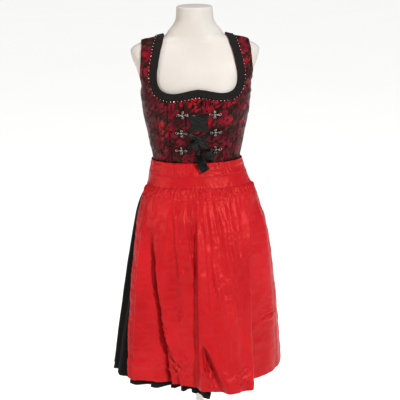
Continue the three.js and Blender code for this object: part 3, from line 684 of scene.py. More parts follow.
bodice = {
    "waist": 1012, "lift": 3.0, "wall": 1.6, "gap": 0.3, "centre": 41, "princess": 85, "backWaist": 52,
    "backNeck": 74, "sideWaist": 132, "sideTop": 167, "sideHead": 1214, "lowest": -2.5, "rows": 90,
}
channels = {
    "places": (-122, -91, -41, 41, 91, 122), "drawnIn": 0.84, "drawnUpTo": 160, "deep": 3.2, "wide": 2.2,
}
gathers = {"pitch": 14, "rise": 6, "long": 80, "fineShare": 0.41, "fineRise": 0.6}
creases = {
    "puff": 7.5, "puffPitch": 10, "puffSlant": 0.8, "besideLacing": (38, 48), "side": 2.2,
    "strain": 0.8, "fanFrom": 16, "fanReach": 14, "fanCount": 10,
}
hook = {
    "x": 50, "heights": (1175, 1119, 1062), "lift": 1.2, "thick": 2.2, "ringAt": -13, "ring": 4.4,
    "hole": 2.2, "bevel": 0.45, "wire": 0.6, "clear": 15,
}
halfGap = bodice["gap"] / 2
waist = bodice["waist"]
faceLift = bodice["lift"] + bodice["wall"]
frontNeck = smoothCurve([
    *[faced(x, z, -1) for x, z in (
        (0, 1247), (21, 1244), (42, 1239), (68, 1234), (89, 1236), (109, 1246), (119, 1264), (121, 1291),
        (117, 1319), (108, 1361),
    )],
    (98, -38, 1386), (94, -18, 1398), (92, 0, 1402),
])
frontArm = smoothCurve([
    *[faced(x, z, -1) for x, z in ((167, 1214), (165, 1238), (169, 1285), (168, 1324), (166, 1356))],
    (164, -30, 1374), (162, 0, 1382),
])
backNeck = smoothCurve([
    *[faced(x, z, 1) for x, z in ((0, 1296), (40, 1297), (70, 1301), (88, 1313), (94, 1336), (95, 1366))],
    (94, 46, 1388), (93, 20, 1399), (92, 0, 1402),
])
backArm = smoothCurve([
    *[faced(x, z, 1) for x, z in ((167, 1214), (158, 1240), (149, 1285), (150, 1330), (156, 1361))],
    (160, 36, 1374), (162, 0, 1382),
])


# The share of a curve's length at which it first goes past x
def shareAt(curve, x):
    furthest = np.maximum.accumulate(curve["places"][:, 0])
    return np.interp(x, furthest + np.arange(len(furthest)) * 1e-9, curve["shares"])


def neckHeight(curve, x):
    return curveAt(curve, shareAt(curve, np.abs(x)))[..., 2]


# The channels draw closer together towards the waist
def spreadAt(height):
    return mix(channels["drawnIn"], 1.0, np.clip((height - waist) / channels["drawnUpTo"], 0, 1))


# Boned channels: a groove down the cloth on each line of stitching
def channelRelief(x, height):
    relief = 0 * x
    for channel in channels["places"]:
        beside = x - channel * spreadAt(height) - 1.2 * unevenness(height / 60, 0 * x, channel)
        relief = relief - channels["deep"] * np.exp(-((beside / channels["wide"]) ** 2))
    return relief


# Gathers that hang from the neckline, each with its own depth and length
def neckGathers(x, height, below):
    number = np.floor(x / gathers["pitch"])
    long = gathers["long"] * (0.6 + 0.7 * scatter(number, 1))
    fade = ease(braidShape["width"] + 2, braidShape["width"] + 8, below)
    fade = fade * (1 - ease(braidShape["width"] + 12, long, below))
    shifted = x + 1.5 * unevenness(x / 14, height / 30, 4)
    ripple = (0.5 + 0.5 * np.cos(fullTurn * shifted / gathers["pitch"])) ** 0.7
    relief = gathers["rise"] * fade * ripple * (0.75 + 0.45 * scatter(number, 2))
    fine = np.cos(fullTurn * shifted / (gathers["pitch"] * gathers["fineShare"]))
    return relief + gathers["fineRise"] * fade * fine


# Slanting puffs of cloth between the channels, clear of the lacing
def puffRelief(x, height):
    slanting = height - creases["puffSlant"] * np.abs(x) + 6 * unevenness(x / 25, height / 30, 3)
    slanting = slanting / creases["puffPitch"]
    strip = 3.7 * sum(x > channel * spreadAt(height) for channel in channels["places"])
    puffs = np.abs(unevenness(strip, slanting, 7)) ** 0.7
    puffs = puffs * (0.7 + 0.3 * unevenness(x / 36, height / 44, 8))
    return creases["puff"] * puffs * ease(*creases["besideLacing"], np.abs(x))


# A share that falls to nearly nothing at the hooks, and the creases that fan out beside them
def hookStrain(x, height):
    clear, strained = 1, 0 * x
    reach = creases["fanReach"]
    for row in hook["heights"]:
        beside, above = np.abs(x) - hook["x"], height - row
        clear = clear * (1 - 0.9 * np.exp(-((np.hypot(beside, above) / hook["clear"]) ** 2)))
        outward = beside - creases["fanFrom"]
        sway = 2 * unevenness(x / 30, height / 30, row)
        fan = np.cos(creases["fanCount"] * np.arctan2(above, np.abs(outward) + 6) + sway)
        strained = strained + fan * np.exp(-(((np.hypot(outward, above) - reach) / reach) ** 2))
    return clear, creases["strain"] * strained


def frontRelief(x, height):
    below = neckHeight(frontNeck, x) - height
    down = ease(braidShape["width"] + 20, braidShape["width"] + 50, below)
    clear, strained = hookStrain(x, height)
    lower = channelRelief(x, height) + clear * puffRelief(x, height) + strained
    return np.maximum(clear * neckGathers(x, height, below) + down * lower, bodice["lowest"])


# Turns a panel's two long edges in, as a pressed seam does
def seamRound(s, width):
    return -0.7 * np.exp(-((np.minimum(s, 1 - s) * width / 1.6) ** 2))


def addUpright(node, curve, side, start, end, columns):
    s, t = grid(bodice["rows"], columns)
    x = mix(mix(start[0], start[1], t), mix(end[0], end[1], t), s)
    points, normal = onForm(faced(x, mix(waist, neckHeight(curve, x), t), side))
    height = points[..., 2]
    relief = frontRelief(x, height) if side < 0 else 0.6 * unevenness(x / 22, height / 14, 9)
    relief = relief + seamRound(s, abs(end[0] - start[0]))
    outer = raised(points, normal, faceLift + relief)
    inner = raised(points, normal, bodice["lift"] + np.minimum(relief, 0))
    uv = np.stack((x * side * -1, outer[..., 2]), axis=-1)
    addCloth(node, outer, inner, "jacquard", uv)


# Panels at the side: a seam up to the neckline, then the strap up to the shoulder seam
def addSide(node, side, face, neckCurve, armCurve, seam):
    rowsBelow, rowsAbove, columns = 64, 60, 44
    neckFrom = shareAt(neckCurve, seam[1])
    v = np.concatenate((np.linspace(0, 1, rowsBelow), np.linspace(1, 2, rowsAbove)[1:]))
    low, high = np.clip(v, 0, 1), np.clip(v - 1, 0, 1)
    gap = side * halfGap
    seamX = mix(*seam, low) + halfGap
    onSeam = faced(seamX, mix(waist, neckHeight(neckCurve, seamX), low), side)
    sideX = mix(bodice["sideWaist"], bodice["sideTop"], low)
    onSide = np.stack((sideX, 0 * low + gap, mix(waist, bodice["sideHead"], low)), axis=-1)
    strap = (v > 1)[:, None]
    inner = np.where(strap, curveAt(neckCurve, mix(neckFrom, 1, high)), onSeam)
    outer = np.where(strap, curveAt(armCurve, high), onSide)
    s = np.linspace(0, 1, columns)[None, :]
    guide = mix(inner[:, None], outer[:, None], s[..., None])
    guide[..., 0] *= face
    points, normal = onForm(guide)
    x, height = points[..., 0], points[..., 2]
    crossed = unevenness(x / 26, height / 11, 5) * unevenness(height / 55, s + 0 * x, 6)
    relief = seamRound(s, np.linalg.norm(outer - inner, axis=-1)[:, None]) + creases["side"] * crossed
    if side < 0:
        relief = relief + (1 - ease(1120, 1200, height)) * channelRelief(x, height)
    outside = raised(points, normal, faceLift + relief)
    inside = raised(points, normal, bodice["lift"] + np.clip(relief, bodice["lowest"], 0))
    for wall in (outside, inside):
        wall[-1, :, 1] = gap
        wall[:rowsBelow, -1, 1] = gap
    turned = np.abs(inner[:, [0]]) + runLength(outside, 1)
    uv = np.stack((-side * face * turned, outside[..., 2] + 0 * turned), axis=-1)
    addCloth(node, outside, inside, "jacquard", uv)


def addBodice():
    centre, princess = bodice["centre"], bodice["princess"]
    upright = {
        "bodice_front_centre": (halfGap - centre, centre - halfGap, 96),
        "bodice_front_inner_left": (halfGap - princess, -centre - halfGap, 60),
        "bodice_front_inner_right": (centre + halfGap, princess - halfGap, 60),
    }
    for node, (start, end, columns) in upright.items():
        addUpright(node, frontNeck, -1, (start, start), (end, end), columns)
    back = (bodice["backWaist"], bodice["backNeck"])
    start, end = [halfGap - x for x in back], [x - halfGap for x in back]
    addUpright("bodice_back_centre", backNeck, 1, start, end, 70)
    for label, face in (("left", -1), ("right", 1)):
        addSide(f"bodice_front_outer_{label}", -1, face, frontNeck, frontArm, (princess, princess))
        addSide(f"bodice_back_side_{label}", 1, face, backNeck, backArm, back)


# Two rows of dark stitches hold each boned channel
def addChannelStitches():
    height = np.linspace(waist + 4, 1200, 120)
    for number, channel in enumerate(channels["places"]):
        for side, label in ((-1, "a"), (1, "b")):
            points, normal = onForm(faced(channel * spreadAt(height) + side * 2.6, height, -1))
            lift = faceLift + frontRelief(points[..., 0], points[..., 2]) + 0.1
            name = f"channel-stitches-{number + 1}{label}"
            addStitches(name, raised(points, normal, lift), "jacquard", darkThread)


addBodice()
addChannelStitches()
print("bodice made")


# Neck braid, with a row of picots along its outer edge, each holding a small metal bead


def braidGrid(curve, seamY, lift, spots, columns):
    t = np.linspace(0, 1, columns)
    share = np.abs(2 * t - 1)
    here = curveAt(curve, share)
    inward = unit(np.cross(onForm(here)[1], heading(curve, share)))
    wrong = np.where(share > 0.4, inward[:, 0] < 0, inward[:, 2] > 0)
    inward = np.where(wrong[:, None], -inward, inward)
    guide = here[:, None] + inward[:, None] * (np.asarray(spots)[None, :, None] * braidShape["width"])
    guide[..., 0] *= np.where(t < 0.5, -1, 1)[:, None]
    points = lifted(guide, lift)
    points[[0, -1], :, 1] = seamY
    return points


def ball(rings=6, sides=8):
    cap = 0.15
    tilt, a = np.meshgrid(np.linspace(cap, math.pi - cap, rings), around(sides), indexing="ij")
    points = np.stack((np.sin(tilt) * np.cos(a), np.sin(tilt) * np.sin(a), np.cos(tilt)), axis=-1)
    return points.reshape(-1, 3), [face[::-1] for face in closedFaces(rings, sides)]


# The same small shape at many places, as one mesh; each place has three axes
def addCopies(name, points, faces, places, axes, slot, material=None):
    everything = places[:, None] + np.einsum("pk,nkd->npd", points, axes)
    copied = [[corner + k * len(points) for corner in face] for k in range(len(places)) for face in faces]
    return addPiece(name, everything, copied, slot, material=material)


def addBraid(node, curve, seamY):
    base = faceLift + braidShape["lift"]
    spots = np.linspace(0, 1, 17)
    columns = int(2 * curve["length"] / 2)
    crown = 0.6 * np.sin(math.pi * spots) ** 0.5 - 0.3 * np.cos(spots * 3 * fullTurn)
    outer = braidGrid(curve, seamY, base + braidShape["wall"] - 0.5 + crown[None, :], spots, columns)
    inner = braidGrid(curve, seamY, base + 0 * crown[None, :], spots, columns)
    across = runLength(outer, 1)
    uv = np.stack((runLength(outer, 0)[:, [8]] + 0 * across, across), axis=-1)
    addCloth(node, outer, inner, "trim", uv)
    edge = braidGrid(curve, seamY, base + 0.7, [1.0, 1.1, 1.2], 4 * columns)
    run = runLength(edge[:, 0], 0)
    pitch = braidShape["picotPitch"]
    spaced = np.arange(pitch, run[-1] - pitch, pitch)
    root, middle, tip = [placesAt(edge[:, k], run, spaced) for k in range(3)]
    out = unit(tip - root)
    face = onForm(middle)[1]
    axes = np.stack((out, np.cross(face, out), face), axis=1)
    a, size = around(14), braidShape["picot"]
    loop = np.stack((size * np.cos(a), size * 0.9 * np.sin(a), 0 * a), axis=-1)
    addCopies(pieceName(node) + "-picots", *wire(loop, braidShape["cord"], 5), root, axes, "trim")
    uneven = braidShape["bead"] * (0.9 + 0.2 * scatter(np.arange(len(root)), 3))[:, None, None]
    addCopies(pieceName(node) + "-beads", *ball(), middle, axes * uneven, "hooks", rubbedSilver)


addBraid("neck_trim_front", frontNeck, -halfGap)
addBraid("neck_trim_back", backNeck, halfGap)
print("neck braid made")


# Skirt and apron share one outer shape, with large folds that grow towards the hem

outerSections = table("height left right front back", [
    (300, 286, 272, 209, 262), (376, 274, 267, 203, 250), (480, 259, 259, 194, 234),
    (583, 243, 250, 183, 216), (650, 232, 242, 174, 203), (750, 215, 229, 160, 182),
    (823, 201, 215, 147, 166), (866, 190, 201, 137, 152), (900, 178, 189, 128, 138),
    (954, 154, 164, 113, 113), (995, 147, 149, 105, 103), (1020, 141, 142, 101, 97),
])
hemFolds = table("angle out", [
    (-180, 4), (-150, -12), (-122, 6), (-90, 0), (-66, 2), (-50, -30), (-26, -44), (-10, -32), (2, -6),
    (22, 34), (36, 18), (50, -28), (66, -22), (84, -4), (97, 0), (112, 26), (128, 6), (152, -14), (180, 4),
])
drape = {"top": 905, "foot": 310, "growth": 1.25, "square": 2.1}
apron = {
    "yokeFoot": 943, "bandFoot": 979, "bandTop": 1020, "wall": 1.6, "fanFoot": 330, "fanGrowth": 0.6,
    "cloth": 0.96, "strip": 1.4, "pucker": 4.2, "crinkle": 1.7, "crumple": 1.8, "hemPull": 2.2,
    "perDegree": 3.6, "rows": 168, "columns": 280, "length": 610, "stitchesUp": 12,
}


def outerRadius(angle, height):
    angle = (angle + math.pi) % fullTurn - math.pi
    sides = ("left", "right", "front", "back")
    left, right, front, back = [along(outerSections, side, height) for side in sides]
    section = sectionRadius(angle, np.where(angle < 0, left, right), front, back, drape["square"])
    fade = np.clip((drape["top"] - height) / (drape["top"] - drape["foot"]), 0, 1) ** drape["growth"]
    return section + fade * along(hemFolds, "out", angle / degree)


# The apron's threads fan out from the yoke: each has a turn round the body there and another at the hem
apronThreads = table("top hem", [(-86, -64), (-60, -57), (-8, -8), (22, 25), (64, 37), (72, 56), (92, 90)])


def apronTurn(thread, share):
    fan = np.clip(share, 0, 1) ** apron["fanGrowth"]
    return mix(thread, along(apronThreads, "hem", thread), fan)


def threadAt(turn, share):
    fan = np.clip(share, 0, 1) ** apron["fanGrowth"]
    return mix(turn, along(apronThreads, "top", turn, by="hem"), fan)


def apronShare(height):
    return (apron["yokeFoot"] - height) / (apron["yokeFoot"] - apron["fanFoot"])


# Folds: the thread of each at its top and foot, the heights it runs between, how early it leans over, how
# far out it stands, and how wide it is on its left and right
foldColumns = "top foot start end bend out left right"
apronFolds = table(foldColumns, [
    (-62, -33, 830, 332, 0.65, -18, 4.5, 3.5), (-4.5, -4.5, 905, 318, 1, 12, 1.6, 11),
    (-68, -64, 900, 318, 1, 9, 5, 6), (10, 12, 915, 500, 1, 5, 3, 4), (24, 24, 915, 480, 1, 5, 6, 8),
    (38, 40, 915, 600, 1, 4, 6, 8), (63, 63, 935, 318, 1, 12, 14, 2.2), (-23, -20, 915, 560, 1, 6, 3.5, 4),
    (-38, -40, 915, 640, 1, 6, 3.5, 3.5), (78, 78, 915, 330, 1, 7, 4, 4), (-2, 9, 480, 322, 1, -11, 5, 2),
])
apronCreases = table(foldColumns, [
    (-59.6, -30.6, 830, 332, 0.65, 9, 0.7, 7), (-61.6, -32.6, 830, 332, 0.65, -7, 3, 1),
    (-5.7, -5.7, 900, 318, 1, -5, 3, 0.7), (-4.1, -4.1, 905, 318, 1, 5, 0.6, 5),
    (-1, 12, 480, 326, 1, 8, 0.8, 5), (-2, 10.4, 480, 326, 1, -6, 3, 1), (-3.5, -3, 440, 322, 1, 4, 0.8, 2.5),
    (-1, 3, 430, 330, 1, 4, 0.7, 1.4), (0, 6, 400, 330, 1, 3, 0.7, 1.4), (66.4, 66.4, 935, 318, 1, -5, 1, 6),
    (63.5, 63.5, 935, 318, 1, 3, 4, 0.8), (-74, -72, 930, 330, 1, 4, 1.2, 2.2),
    (-67, -66, 930, 640, 1, 3.5, 0.8, 1.4), (-44, -46, 850, 640, 1, 3, 0.9, 3),
    (-33, -24, 900, 700, 1, 4.5, 0.8, 2.4), (-20, -9, 880, 690, 1, 7, 5, 1.2),
    (-13, -10, 930, 800, 1, 4, 0.8, 1.4), (7, 16, 760, 470, 1, 5, 0.8, 2.2), (3, 5, 930, 600, 1, 3, 0.9, 3),
    (23, 28, 930, 600, 1, 2.5, 2.4, 4), (17, 18, 930, 820, 1, 4, 0.7, 1.4),
    (35, 37, 930, 740, 1, 2.5, 2.4, 4), (47, 50, 930, 720, 1, 2.5, 2.4, 4), (83, 83, 930, 330, 1, 3, 1.2, 2),
    (-41, -24, 520, 332, 0.8, -10, 3.2, 1.6), (-39, -22, 520, 332, 0.8, 6, 0.9, 3.5),
    (-30, -20, 440, 336, 1, -5, 2, 1.4),
])


# Patches of small sharp crumples: where round the body and how high, their reach, and their creases' lean
apronCrumples = table("turn height wide tall rise lean", [
    (-31, 372, 7, 26, 6, 0.9), (-19, 385, 7, 30, 5, 0.7), (-40, 420, 5, 30, 4, -0.6),
    (2, 372, 6, 34, 5, -0.9), (27, 356, 8, 24, 5, 0.6), (-38, 480, 5, 30, 3.5, 0.5),
    (66, 520, 9, 22, 4, 0.3), (-24, 545, 10, 30, 3, 0.2), (15, 640, 14, 60, 1.5, 0.5),
    (35, 800, 12, 40, 1.5, -0.4), (-60, 430, 8, 60, 2, 0.4),
])

# Short creases from one place to another, each a ridge with a hollow above it
shortCreases = table("turn1 height1 turn2 height2 out wide", [
    (-34, 408, -21, 366, 6, 4), (-31, 384, -25, 352, 5, 3.5), (-47, 404, -35, 392, 4, 3),
    (-45, 388, -34, 376, 4, 3), (-22, 430, -14, 404, 3, 3), (-2, 470, 0, 372, 4, 3),
    (1, 440, 4, 356, 4, 3), (-41, 520, -37, 470, 4, 3), (-39, 500, -34, 488, 3.5, 2.5),
    (26, 372, 34, 388, 4, 3), (24, 356, 32, 362, 4, 3), (58, 512, 70, 528, 4.5, 3),
    (60, 530, 72, 540, 3, 3), (-28, 572, -22, 566, 3, 3), (-62, 800, -58, 786, 4, 3),
    (8, 700, 13, 600, 3, 2.5), (-49, 604, -43, 588, 4, 3), (-47, 566, -40, 546, 4.5, 3),
    (-43, 530, -36, 504, 5, 3), (-41, 474, -33, 452, 5, 3), (-38, 444, -30, 426, 5, 3.5),
    (-52, 640, -48, 618, 4, 3), (-44, 440, -36, 424, 4, 3),
])


def foldRise(folds, thread, height):
    total = 0 * (thread + height)
    for top, foot, start, end, bend, out, left, right in zip(*folds.values()):
        share = (start - height) / (start - end)
        offset = thread - mix(top, foot, np.clip(share, 0, 1) ** bend)
        size = offset / np.where(offset < 0, left, right)
        total = total + out * ease(0, 0.25, share) * (1 - ease(1, 1.2, share)) * np.exp(-size * size)
    return total


def apronOut(thread, height):
    return foldRise(apronFolds, thread, height) + foldRise(apronCreases, thread, height)


# Skirt: five gores of pleats that open towards the hem and meet edge to edge, tucked in under the apron.
# Each gore runs from one pleat to another.

skirt = {
    "wall": 2.0, "pleats": 28, "rows": 90, "columnsPerPleat": 14, "tuck": 5, "sway": 0.06, "ripple": 0.9,
    "gores": {
        "skirt_back_left": (0, 5), "skirt_side_left": (5, 9), "skirt_front": (9, 19),
        "skirt_side_right": (19, 23), "skirt_back_right": (23, 28),
    },
}
pleatDepth = table("height deep", [
    (300, 27), (700, 20), (823, 16), (895, 11), (940, 6), (980, 2.5), (1020, 1),
])
pleatCorners = table("place deep", [(0, 0.12), (0.3, 0), (0.54, 0.85), (0.78, 1), (1, 0.12)])
skirtHems = table("turn height", [
    (-180, 326), (-100, 336), (-78, 338), (-66, 322), (-36, 304), (-10, 298), (-2, 288), (5, 290), (10, 320),
    (80, 350), (112, 362), (140, 340), (180, 326),
])
apronGap = table("height gap", [(300, 8), (880, 8), (943, 3), (979, 2), (1020, 1.6)])


# Under the apron the skirt keeps clear of the deepest fold within a few degrees
def skirtRadius(turn, height):
    share = apronShare(height)
    leftEdge = apronTurn(apronThreads["top"][0], share)
    covered = ease(leftEdge - 14, leftEdge - 3, turn) * (1 - ease(96, 108, turn))
    thread = threadAt(turn, share)
    lowest = 0 * thread
    for beside in (-7, -5, -2.5, -1.2, 0, 1.2, 2.5, 5, 7):
        lowest = np.minimum(lowest, apronOut(thread + beside, height))
    under = apron["wall"] + along(apronGap, "gap", height) - lowest
    atWaist = ease(880, 960, height) * skirt["tuck"]
    inset = mix(atWaist, np.maximum(under, atWaist), covered)
    number = np.floor((turn + 180) * skirt["pleats"] / 360)
    place = (turn + 180) * skirt["pleats"] / 360 - number
    sway = skirt["sway"] * unevenness(number, height / 160, 12) * ease(900, 500, height)
    sway = sway * np.sin(math.pi * place)
    deep = along(pleatCorners, "deep", np.clip(place + sway, 0, 1))
    return outerRadius(turn * degree, height) - inset - deep * along(pleatDepth, "deep", height)


def addGore(node, firstPleat, lastPleat):
    s, t = grid(skirt["rows"], (lastPleat - firstPleat) * skirt["columnsPerPleat"] + 1)
    turn = mix(firstPleat, lastPleat, s) * 360 / skirt["pleats"] - 180
    height = mix(along(skirtHems, "height", turn), waist - bodice["gap"], t)
    onSeam = (s == 0) | (s == 1)
    ripple = skirt["ripple"] * unevenness(turn / 3, height / 45, 14) * ease(950, 800, height) * ~onSeam
    radius = skirtRadius(turn, height) + ripple
    outer, inner = [polar(turn * degree, radius - depth, height) for depth in (0, skirt["wall"])]
    addCloth(node, outer, inner, "skirt", sharp=70)


for goreName, pleatSpan in skirt["gores"].items():
    addGore(goreName, *pleatSpan)
print("skirt made")


# Apron panel: large folds, sharp creases, gathers under the yoke and the small crinkles of taffeta

apronHems = table("thread height", [
    (-86, 340), (-50, 335), (-10, 322), (24, 318), (60, 319), (65, 323), (76, 332), (90, 352),
])

# Rows of gathers, laid over each other: how many there are, how far out and how long, and their shift
gatherRows = table("count rise long seed shift", [
    (21, 4.5, 150, 21, 0), (48, 4.6, 44, 22, 0.004), (84, 3.4, 24, 23, 0),
])


# Ridges that start at the yoke's seam, each with its own height and length
def gatherRelief(s, below, count, rise, long, seed):
    s = s + 0.35 / count * unevenness(s * count / 2.3, below / 45, seed)
    number = np.floor(s * count)
    crest = 0.5 - 0.5 * np.cos(fullTurn * (s * count - number))
    length = long * (0.25 + 1.0 * scatter(number, seed + 0.5) ** 1.5)
    fade = ease(0, 6, below) * (1 - ease(0.1, 1, below / length))
    return rise * (0.2 + 0.9 * scatter(number, seed) ** 1.6) * crest * fade


# All the gathers under the yoke, with a puckered stretch on them
def gathered(s, below):
    total = 0 * s
    for count, rise, long, seed, shift in zip(*gatherRows.values()):
        total = total + gatherRelief(s + shift, below, count, rise, long, seed)
    puckered = np.abs(unevenness(s * 60, below / 11, 24)) ** 0.6
    return total + apron["pucker"] * puckered * ease(4, 16, below) * (1 - ease(24, 62, below))


# Long soft crinkles and short flat ones, stronger on the left, and a pull along the hem
def crinkled(turn, height, below):
    long = apron["crinkle"] * unevenness(turn / 5 + height / 90, height / 26, 31) * ease(0, 90, below)
    leftSide = 0.6 + 0.7 * ease(0, -25, turn)
    short = leftSide * unevenness(turn / 8 - height / 60, height / 9, 32) * ease(30, 160, below)
    hemPull = apron["hemPull"] * ease(370, 325, height) * unevenness(turn / 3.2, 0 * height, 33)
    return long + short + hemPull


def crumpled(turn, height):
    total = 0 * turn
    for place, level, wide, tall, rise, lean in zip(*apronCrumples.values()):
        beside, above = (turn - place) / wide, (height - level) / tall
        sharp = 1 - np.abs(unevenness(turn / 7 + lean * height / 40, height / 13 - lean * turn / 11, place))
        total = total + apron["crumple"] * rise * sharp**3 * np.exp(-(beside**2) - above**2)
    return total


def creased(turn, height):
    total = 0 * turn
    for turn1, height1, turn2, height2, rise, wide in zip(*shortCreases.values()):
        runX, runZ = (turn2 - turn1) * apron["perDegree"], height2 - height1
        long = math.hypot(runX, runZ)
        x, z = (turn - turn1) * apron["perDegree"], height - height1
        place = (x * runX + z * runZ) / long**2
        aside = (x * runZ - z * runX) / long / wide
        shape = np.exp(-((aside - 0.5) ** 2)) - 0.8 * np.exp(-((aside + 1.1) ** 2))
        total = total + rise * shape * ease(-0.1, 0.3, place) * (1 - ease(0.7, 1.1, place))
    return total


# The panel's angle, radius and height where s goes across it and t goes up it
def apronPlaces(s, t):
    thread = mix(apronThreads["top"][0], apronThreads["top"][-1], s)
    height = mix(along(apronHems, "height", thread), apron["yokeFoot"] - bodice["gap"], t)
    turn = apronTurn(thread, 1 - t)
    below = apron["yokeFoot"] - height
    out = apronOut(thread, height) + gathered(s, below) + crinkled(turn, height, below)
    out = out + crumpled(turn, height) + creased(turn, height)
    return turn * degree, outerRadius(turn * degree, height) + out, height


def addApron():
    s, t = grid(apron["rows"], apron["columns"])
    angle, radius, height = apronPlaces(s, mix(t, np.sin(t * math.pi / 2), 0.55))
    outer, inner = [polar(angle, radius - depth, height) for depth in (0, apron["cloth"])]
    addCloth("apron_panel", outer, inner, "apron", sharp=70)
    s = np.linspace(0.004, 0.996, 900)
    angle, radius, height = apronPlaces(s, 0 * s + apron["stitchesUp"] / apron["length"])
    addStitches("apron-hem-stitches", polar(angle, radius + 0.2, height))


addApron()


# Yoke, waist band and ties: strips round the waist. Each bunch of the band has a place round the body and a
# width; each strip has its two ends and its columns.

yoke = {"from": -88, "to": 93, "columns": 260, "rows": 16, "edge": 0.3, "pucker": 1.3, "soft": 0.5}
band = {
    "rows": 24, "pull": 1.6, "shortPull": 1.2, "ridge": 3.6, "edge": 1.4, "bunches": [(-36, 17), (41, 11)],
    "strips": {
        "apron_band": (-99.9, 99.9, 300), "apron_tie_left": (-176, -100.1, 110),
        "apron_tie_right": (100.1, 176, 110),
    },
}


def addStrip(node, low, high, start, end, columns, rows, relief):
    s, t = grid(rows, columns)
    turn, height = mix(start, end, s), mix(low, high, t)
    out = relief(turn, height, t)
    radius = outerRadius(turn * degree, height)
    outer = polar(turn * degree, radius + out, height)
    inner = polar(turn * degree, radius + np.minimum(out, 0) - apron["strip"], height)
    addCloth(node, outer, inner, "apron", sharp=70)


def yokeRelief(turn, height, t):
    edge = yoke["edge"] * np.exp(-((np.minimum(t, 1 - t) * 36 / 2.4) ** 2))
    puckers = yoke["pucker"] * unevenness(turn / 2.1, height / 14, 41) * (1 - ease(0, 0.55, t))
    return edge + puckers + yoke["soft"] * unevenness(turn / 9, height / 14, 42) + 0.1


# Soft pulls along the band, and short ridges that run up and down it
def bandRelief(turn, height, t):
    pulls = band["pull"] * unevenness(turn / 16, height / 8, 43)
    pulls = pulls + band["shortPull"] * unevenness(turn / 5, height / 14, 44)
    bunched = 0.15 + 0 * turn
    for place, wide in band["bunches"]:
        bunched = bunched + np.exp(-(((turn - place) / wide) ** 2))
    ridges = band["ridge"] * bunched * np.abs(unevenness(turn / 3.2 + height / 60, height / 70, 45)) ** 0.6
    edge = np.exp(-((np.minimum(t, 1 - t) * 40 / 3) ** 2))
    return -1.2 + (0.8 + pulls + ridges) * (1 - edge) + band["edge"] * edge


def addWaist():
    foot, middle, top = apron["yokeFoot"], apron["bandFoot"], apron["bandTop"]
    start, end = yoke["from"], yoke["to"]
    yokeTop = middle - bodice["gap"]
    addStrip("apron_yoke", foot, yokeTop, start, end, yoke["columns"], yoke["rows"], yokeRelief)
    for node, (first, last, columns) in band["strips"].items():
        addStrip(node, middle, top, first, last, columns, band["rows"], bandRelief)
    turn = np.linspace(start + 1, end - 1, 700)
    for label, height in (("lower", foot + 2), ("upper", middle - 2.6)):
        out = yokeRelief(turn, height, (height - foot) / (middle - foot)) + 0.2
        line = polar(turn * degree, outerRadius(turn * degree, height) + out, height)
        addStitches(f"apron-yoke-stitches-{label}", line)


addWaist()
print("apron made")


# Ribbons and bows


# A ribbon along a path, with a width at each share of it that runs across the path; creases run along it
def addRibbon(node, path, width, across, slot, rests, steps, columns, thick, crease):
    line = smoothCurve(path)
    t = np.linspace(0, 1, steps)
    ahead = heading(line, t)
    wide = np.array(across, float) - ahead * (ahead @ np.array(across, float))[:, None]
    wide = unit(wide)
    out = np.cross(wide, ahead)
    s = np.linspace(0, 1, columns)[None, :]
    spread = (s - 0.5) * width(t)[:, None]
    folds = unevenness(s * 3 + 4 * t[:, None], t[:, None] * 4, len(node))
    lift = crease * np.sin(math.pi * t)[:, None] * folds
    centre = curveAt(line, t)[:, None] + wide[:, None] * spread[..., None]
    outer, inner = [centre + out[:, None] * (lift + side * thick / 2)[..., None] for side in (1, -1)]
    addCloth(node, outer, inner, slot)


# A rounded knot of wrapped cloth: rings at heights from its middle, each with a share of the full size
def addKnot(node, middle, rings, wide, deep, slot, rows, columns, folds):
    heights, sizes = np.array(rings).T
    z = np.linspace(heights[0], heights[-1], rows)[:, None]
    a = around(columns)[None, :]
    size = np.interp(z, heights, sizes) * (1 - 0.07 * np.abs(np.sin(folds * a + z * 0.15)))
    rings = np.broadcast_arrays(wide * size * np.cos(a), deep * size * np.sin(a), z)
    points = np.stack(rings, axis=-1) + middle
    uv = np.stack(np.broadcast_arrays(a * wide, z), axis=-1).reshape(-1, 2)
    addPiece(pieceName(node), points, closedFaces(rows, columns), slot, node, uv, sharp=50)


# The width of a loop along it: narrow at the knot and widest in its middle
def loopWidth(least, more):
    return lambda t: least + more * np.sin(math.pi * t)


bowShape = {"height": 999, "out": 10.2, "knot": (16, 9.5), "loop": (30, 16), "tail": (19, 25)}
backBow = {"slot": "apron", "rests": ["apron_bow_knot"], "steps": 90, "columns": 16, "thick": 1.0}


def addBackBow():
    back, up = float(outerRadius(math.pi, 1000)), bowShape["height"]
    rings = [(-17, 0.72), (-12, 1), (0, 0.9), (12, 1), (17, 0.72)]
    addKnot("apron_bow_knot", (0, back + bowShape["out"], up), rings, *bowShape["knot"], "apron", 26, 48, 5)
    leastTail, moreTail = bowShape["tail"]
    for label, side in (("left", -1), ("right", 1)):

        def fromKnot(x, y, z):
            return side * x, back + y, up + z

        def onSkirt(x, height, lift):
            angle = math.pi - math.atan2(side * x, back + 60)
            return polar(angle, float(outerRadius(angle, height)) + lift, height)

        addRibbon(f"apron_bow_loop_{label}", [
            fromKnot(16.7, 6.5, 2), fromKnot(45, 7, 3), fromKnot(85, 5, -6), fromKnot(112, 4, -24),
            fromKnot(118, 16, -36), fromKnot(104, 30, -34), fromKnot(70, 30, -16), fromKnot(40, 22, -4),
            fromKnot(17, 12.5, -1),
        ], loopWidth(*bowShape["loop"]), (0, 0, 1), crease=2.4, **backBow)
        addRibbon(f"apron_bow_tail_{label}", [
            fromKnot(12, 8, -17.6), onSkirt(20, 950, 13), onSkirt(36, 890, 9), onSkirt(45, 810, 8),
            onSkirt(50, 720, 8), onSkirt(52, 630, 8),
        ], lambda t: leastTail + moreTail * np.minimum(1, 4 * t), (1, -0.12 * side, 0), crease=1.8, **backBow)


addBackBow()


